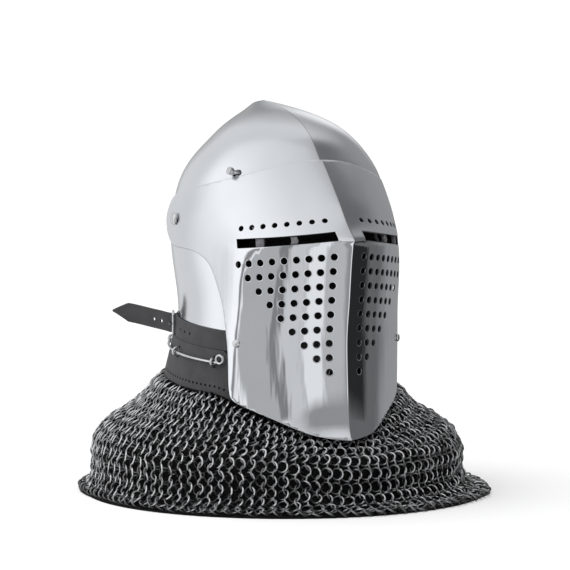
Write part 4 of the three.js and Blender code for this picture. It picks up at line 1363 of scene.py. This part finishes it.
class BASCINET_OT_mail(bpy.types.Operator):
    """Weaves the mail: columns of rings that lean by turns to the left and right, each through four others"""

    bl_idname = "bascinet.mail"
    bl_label = "Mail aventail"

    def execute(self, context):
        sizes = context.scene.bascinet_sizes
        ring, pitch, columns = sizes.ring / MM, sizes.ring_pitch / MM, sizes.ring_columns
        shape, shape_faces = ring_model(ring, sizes.ring_wire / MM)
        draw = np.random.default_rng(14)
        hub, lines = mail_lines(columns)
        parts = [[] for _ in range(4)]
        half_chord = math.sqrt(ring**2 - RING_OVERLAP**2)
        for column, (heading, fall) in enumerate(lines):
            spoke, level = spoke_ways(heading)
            travelled = along_chords(fall)

            def on_fall(place):
                return np.array([np.interp(place, travelled, fall[:, i]) for i in (0, 1)])

            wave = sum(size * math.sin(times * heading + start) for size, times, start in HEM_WAVES)
            wave += draw.normal(0, 0.35)
            strip = MAIL_STRIP * (1 - math.sin(heading + 0.5))
            place = travelled[-1] - ring * 0.55 - strip + wave - (pitch / 2 if column % 2 else 0.0)
            lean = 1 if column % 2 else -1
            while place > -3.0:
                tilted, twisted, outward, aside, lower, luck = draw.standard_normal(6) * RING_SCATTER
                if place <= -1.0:
                    break  # a ring this high would stand above the band's edge, and is left out
                radius, z = on_fall(place)
                z -= min(place, 0.0)
                before, after = (on_fall(end) for end in np.clip([place - 1.0, place + 1.0], 0, travelled[-1]))
                way = unit(after - before)
                down = spoke * way[0] + UP * way[1]
                out = np.cross(down, level)
                spacing = 2 * math.pi * radius / columns
                tilt = math.acos(min(0.93, spacing / 2 / half_chord)) * (MAIL_OPEN if lean > 0 else 1.0)
                tilt += math.radians(tilted)
                across = level * math.cos(tilt) + out * math.sin(tilt) * lean
                twist = math.radians(twisted)
                down = down * math.cos(twist) + np.cross(across, down) * math.sin(twist)
                fold = sum(size * math.sin(times * heading + place / run) for size, times, run in MAIL_FOLDS)
                middle = hub + spoke * radius + UP * z + out * (outward + 0.4 * lean + fold)
                middle = middle + level * aside + down * lower
                points = middle + shape @ np.array([across, down, np.cross(across, down)])
                points[:, 2] += max(0.0, 0.05 - points[:, 2].min())
                # Painted highlight on the raised half of the rings that lean one way, painted shade on the rings
                # between them
                painted_shine = 0.85 + 0.2 * luck if lean > 0 else 0.26 + 0.12 * luck
                raised_half_light = ease(shape[:, 0] * lean / ring, -0.35, 0.75)
                parts[4 * column // columns].append((points, np.clip(0.05 + raised_half_light * painted_shine, 0, 1)))
                place -= pitch
        for i, rings in enumerate(parts, 1):
            points, tones = (np.concatenate(values) for values in zip(*rings))
            faces = np.concatenate([shape_faces + k * len(shape) for k in range(len(rings))])
            piece = raw_piece(f"mail_rings_{i}", points, faces.tolist())
            mark(piece, "ring_painted_light", tones)
            dress(smooth(piece, 180), HELMET, "mail_steel", "mail_aventail")
        mail_shade_lining()
        return {"FINISHED"}


# What stands round the helmet in the studio, each over the ones before it: heading to the viewer's left, half width
# and soft edge in degrees, lower and upper end as the sine of the elevation, and brightness
STUDIO_WALLS, STUDIO_TOP = 0.62, 0.6
STUDIO_PANELS = (
    (-10, 60, 20, -2, 0.5, 0.27),  # dark room behind the camera
    (-130, 42, 25, -2, 0.7, 0.26),  # grey screen, right and behind
    (-74, 32, 14, -2, 0.93, 0.12),  # black flag, right
    (95, 25, 25, -2, 0.9, 0.95),  # large soft box, left
    (45, 45, 40, 0.5, 0.85, 0.8),  # soft box above, front left
    (-145, 8, 10, 0.2, 0.5, 0.85),  # lamp, right and behind
    (-27, 16, 5, -2, 0.03, 0.8),  # low strips in front, white to black, that streak the polished face
    (-68, 16, 8, -2, 0.03, 0.02),
    (18, 11, 6, -2, 0.03, 0.45),
    (36, 7, 4, -2, 0.03, 0.75),
    (50, 6, 3, -2, 0.03, 0.55),
    (60, 3, 3, -2, 0.03, 0.2),
    (70, 8, 3, -2, 0.03, 0.4),
    (86, 5, 4, -2, 0.03, 0.25),
)


STUDIO_STRENGTH, BACKDROP_STRENGTH = 1.25, 1.05
PANEL_FADE = 150  # degrees of soft edge to one of fade at a panel's ends
# The camera's place, sideways, forward and up, and the direction from its aim back to it
CAMERA_PLACE = (-1035.7, 2229.2, 345.4)
CAMERA_BACK = (-0.4224, -0.9045, 0.0590)


def studio_world():
    """Soft studio light: a broad bright box to the left, dark panels to the right"""
    world = bpy.data.worlds.new("studio")
    bpy.context.scene.world = world
    world.use_nodes = True
    tree = world.node_tree
    tree.nodes.clear()
    shade = Shade(tree)
    way = shade.node("ShaderNodeTexCoord", output=0)
    x, y, z = (shade.node("ShaderNodeSeparateXYZ", None, {0: way}, i) for i in range(3))
    turn = shade.node("ShaderNodeMath", {"operation": "ARCTAN2"}, {0: x * -1.0, 1: y * -1.0})
    studio = z.clamp(0.85, 0.98).mix(tone((1, 1, 1), STUDIO_WALLS), tone((1, 1, 1), STUDIO_TOP))
    for heading, half, soft, low, high, bright in STUDIO_PANELS:
        aside = shade.node("ShaderNodeMath", {"operation": "ABSOLUTE"}, {0: turn - math.radians(heading)})
        cover = 1 - aside.clamp(math.radians(half - soft / 2), math.radians(half + soft / 2))
        fade = soft / PANEL_FADE
        cover = cover * z.clamp(low - fade, low + fade) * (1 - z.clamp(high - fade, high + fade))
        studio = cover.mix(studio, tone((1, 1, 1), bright))
    camera = shade.node("ShaderNodeLightPath", output=0)
    light = shade.node("ShaderNodeBackground", None, {"Color": studio, "Strength": STUDIO_STRENGTH})
    plain = shade.node("ShaderNodeBackground", None, {"Color": (1, 1, 1, 1), "Strength": BACKDROP_STRENGTH})
    mixed = shade.node("ShaderNodeMixShader", None, {0: camera, 1: light, 2: plain})
    shade.feed(tree.nodes.new("ShaderNodeOutputWorld").inputs["Surface"], mixed)


def soft_sun(name, tilt, spread, strength):
    """Even light from above that throws soft shadows and leaves no spot on the steel"""
    lamp = bpy.data.lights.new(name, "SUN")
    lamp.angle, lamp.energy = math.radians(spread), strength
    piece = bpy.data.objects.new(name, lamp)
    bpy.context.scene.collection.objects.link(piece)
    piece.rotation_euler = tuple(math.radians(angle) for angle in tilt)
    piece.visible_glossy = False


class BASCINET_OT_stage(bpy.types.Operator):
    """Builds the floor, the light and the camera"""

    bl_idname = "bascinet.stage"
    bl_label = "Stage"

    def execute(self, context):
        scene = context.scene
        deselect()
        bpy.ops.mesh.primitive_circle_add(vertices=96, radius=14, fill_type="NGON", location=(0, 0, 0))
        floor = bpy.context.active_object
        floor.name = "floor"
        floor.data.materials.append(finished("floor_paper", floor_paper, scene.bascinet_finishes.floor))
        floor.visible_glossy = False
        studio_world()
        soft_sun("overhead", (-12, -18, 0), 100, 2.0)
        camera = bpy.data.objects.new("camera", bpy.data.cameras.new("camera"))
        scene.collection.objects.link(camera)
        camera.location = Vector(at(*CAMERA_PLACE)) * MM
        camera.rotation_euler = (-Vector(CAMERA_BACK).normalized()).to_track_quat("-Z", "Y").to_euler()
        camera.data.lens, camera.data.sensor_width = 157.9, 36
        camera.data.clip_start, camera.data.clip_end = 0.05, 60
        scene.camera = camera
        scene.view_settings.view_transform = "Standard"
        return {"FINISHED"}


class BASCINET_PT_panel(bpy.types.Panel):
    """Lists the pieces of the bascinet"""

    bl_idname = "BASCINET_PT_panel"
    bl_label = "Bascinet"
    bl_space_type = "VIEW_3D"
    bl_region_type = "UI"
    bl_category = "Bascinet"

    def draw(self, context):
        for group in (context.scene.bascinet_sizes, context.scene.bascinet_finishes):
            box = self.layout.box()
            for key in group.__annotations__:
                box.prop(group, key)
        for operator in OPERATORS:
            self.layout.operator(operator.bl_idname)


OPERATORS = (
    BASCINET_OT_stage,
    BASCINET_OT_skull,
    BASCINET_OT_visor,
    BASCINET_OT_rivets,
    BASCINET_OT_lock_pin,
    BASCINET_OT_straps,
    BASCINET_OT_buckle,
    BASCINET_OT_band,
    BASCINET_OT_vervelles,
    BASCINET_OT_mail,
)
CLASSES = (BascinetSizes, BascinetFinishes, *OPERATORS, BASCINET_PT_panel)


def register():
    for cls in CLASSES:
        bpy.utils.register_class(cls)
    bpy.types.Scene.bascinet_sizes = bpy.props.PointerProperty(type=BascinetSizes)
    bpy.types.Scene.bascinet_finishes = bpy.props.PointerProperty(type=BascinetFinishes)


def unregister():
    del bpy.types.Scene.bascinet_finishes
    del bpy.types.Scene.bascinet_sizes
    for cls in reversed(CLASSES):
        bpy.utils.unregister_class(cls)


def main():
    register()
    for operator in OPERATORS:
        group, name = operator.bl_idname.split(".")
        getattr(getattr(bpy.ops, group), name)()
    deselect()


if __name__ == "__main__":
    main()
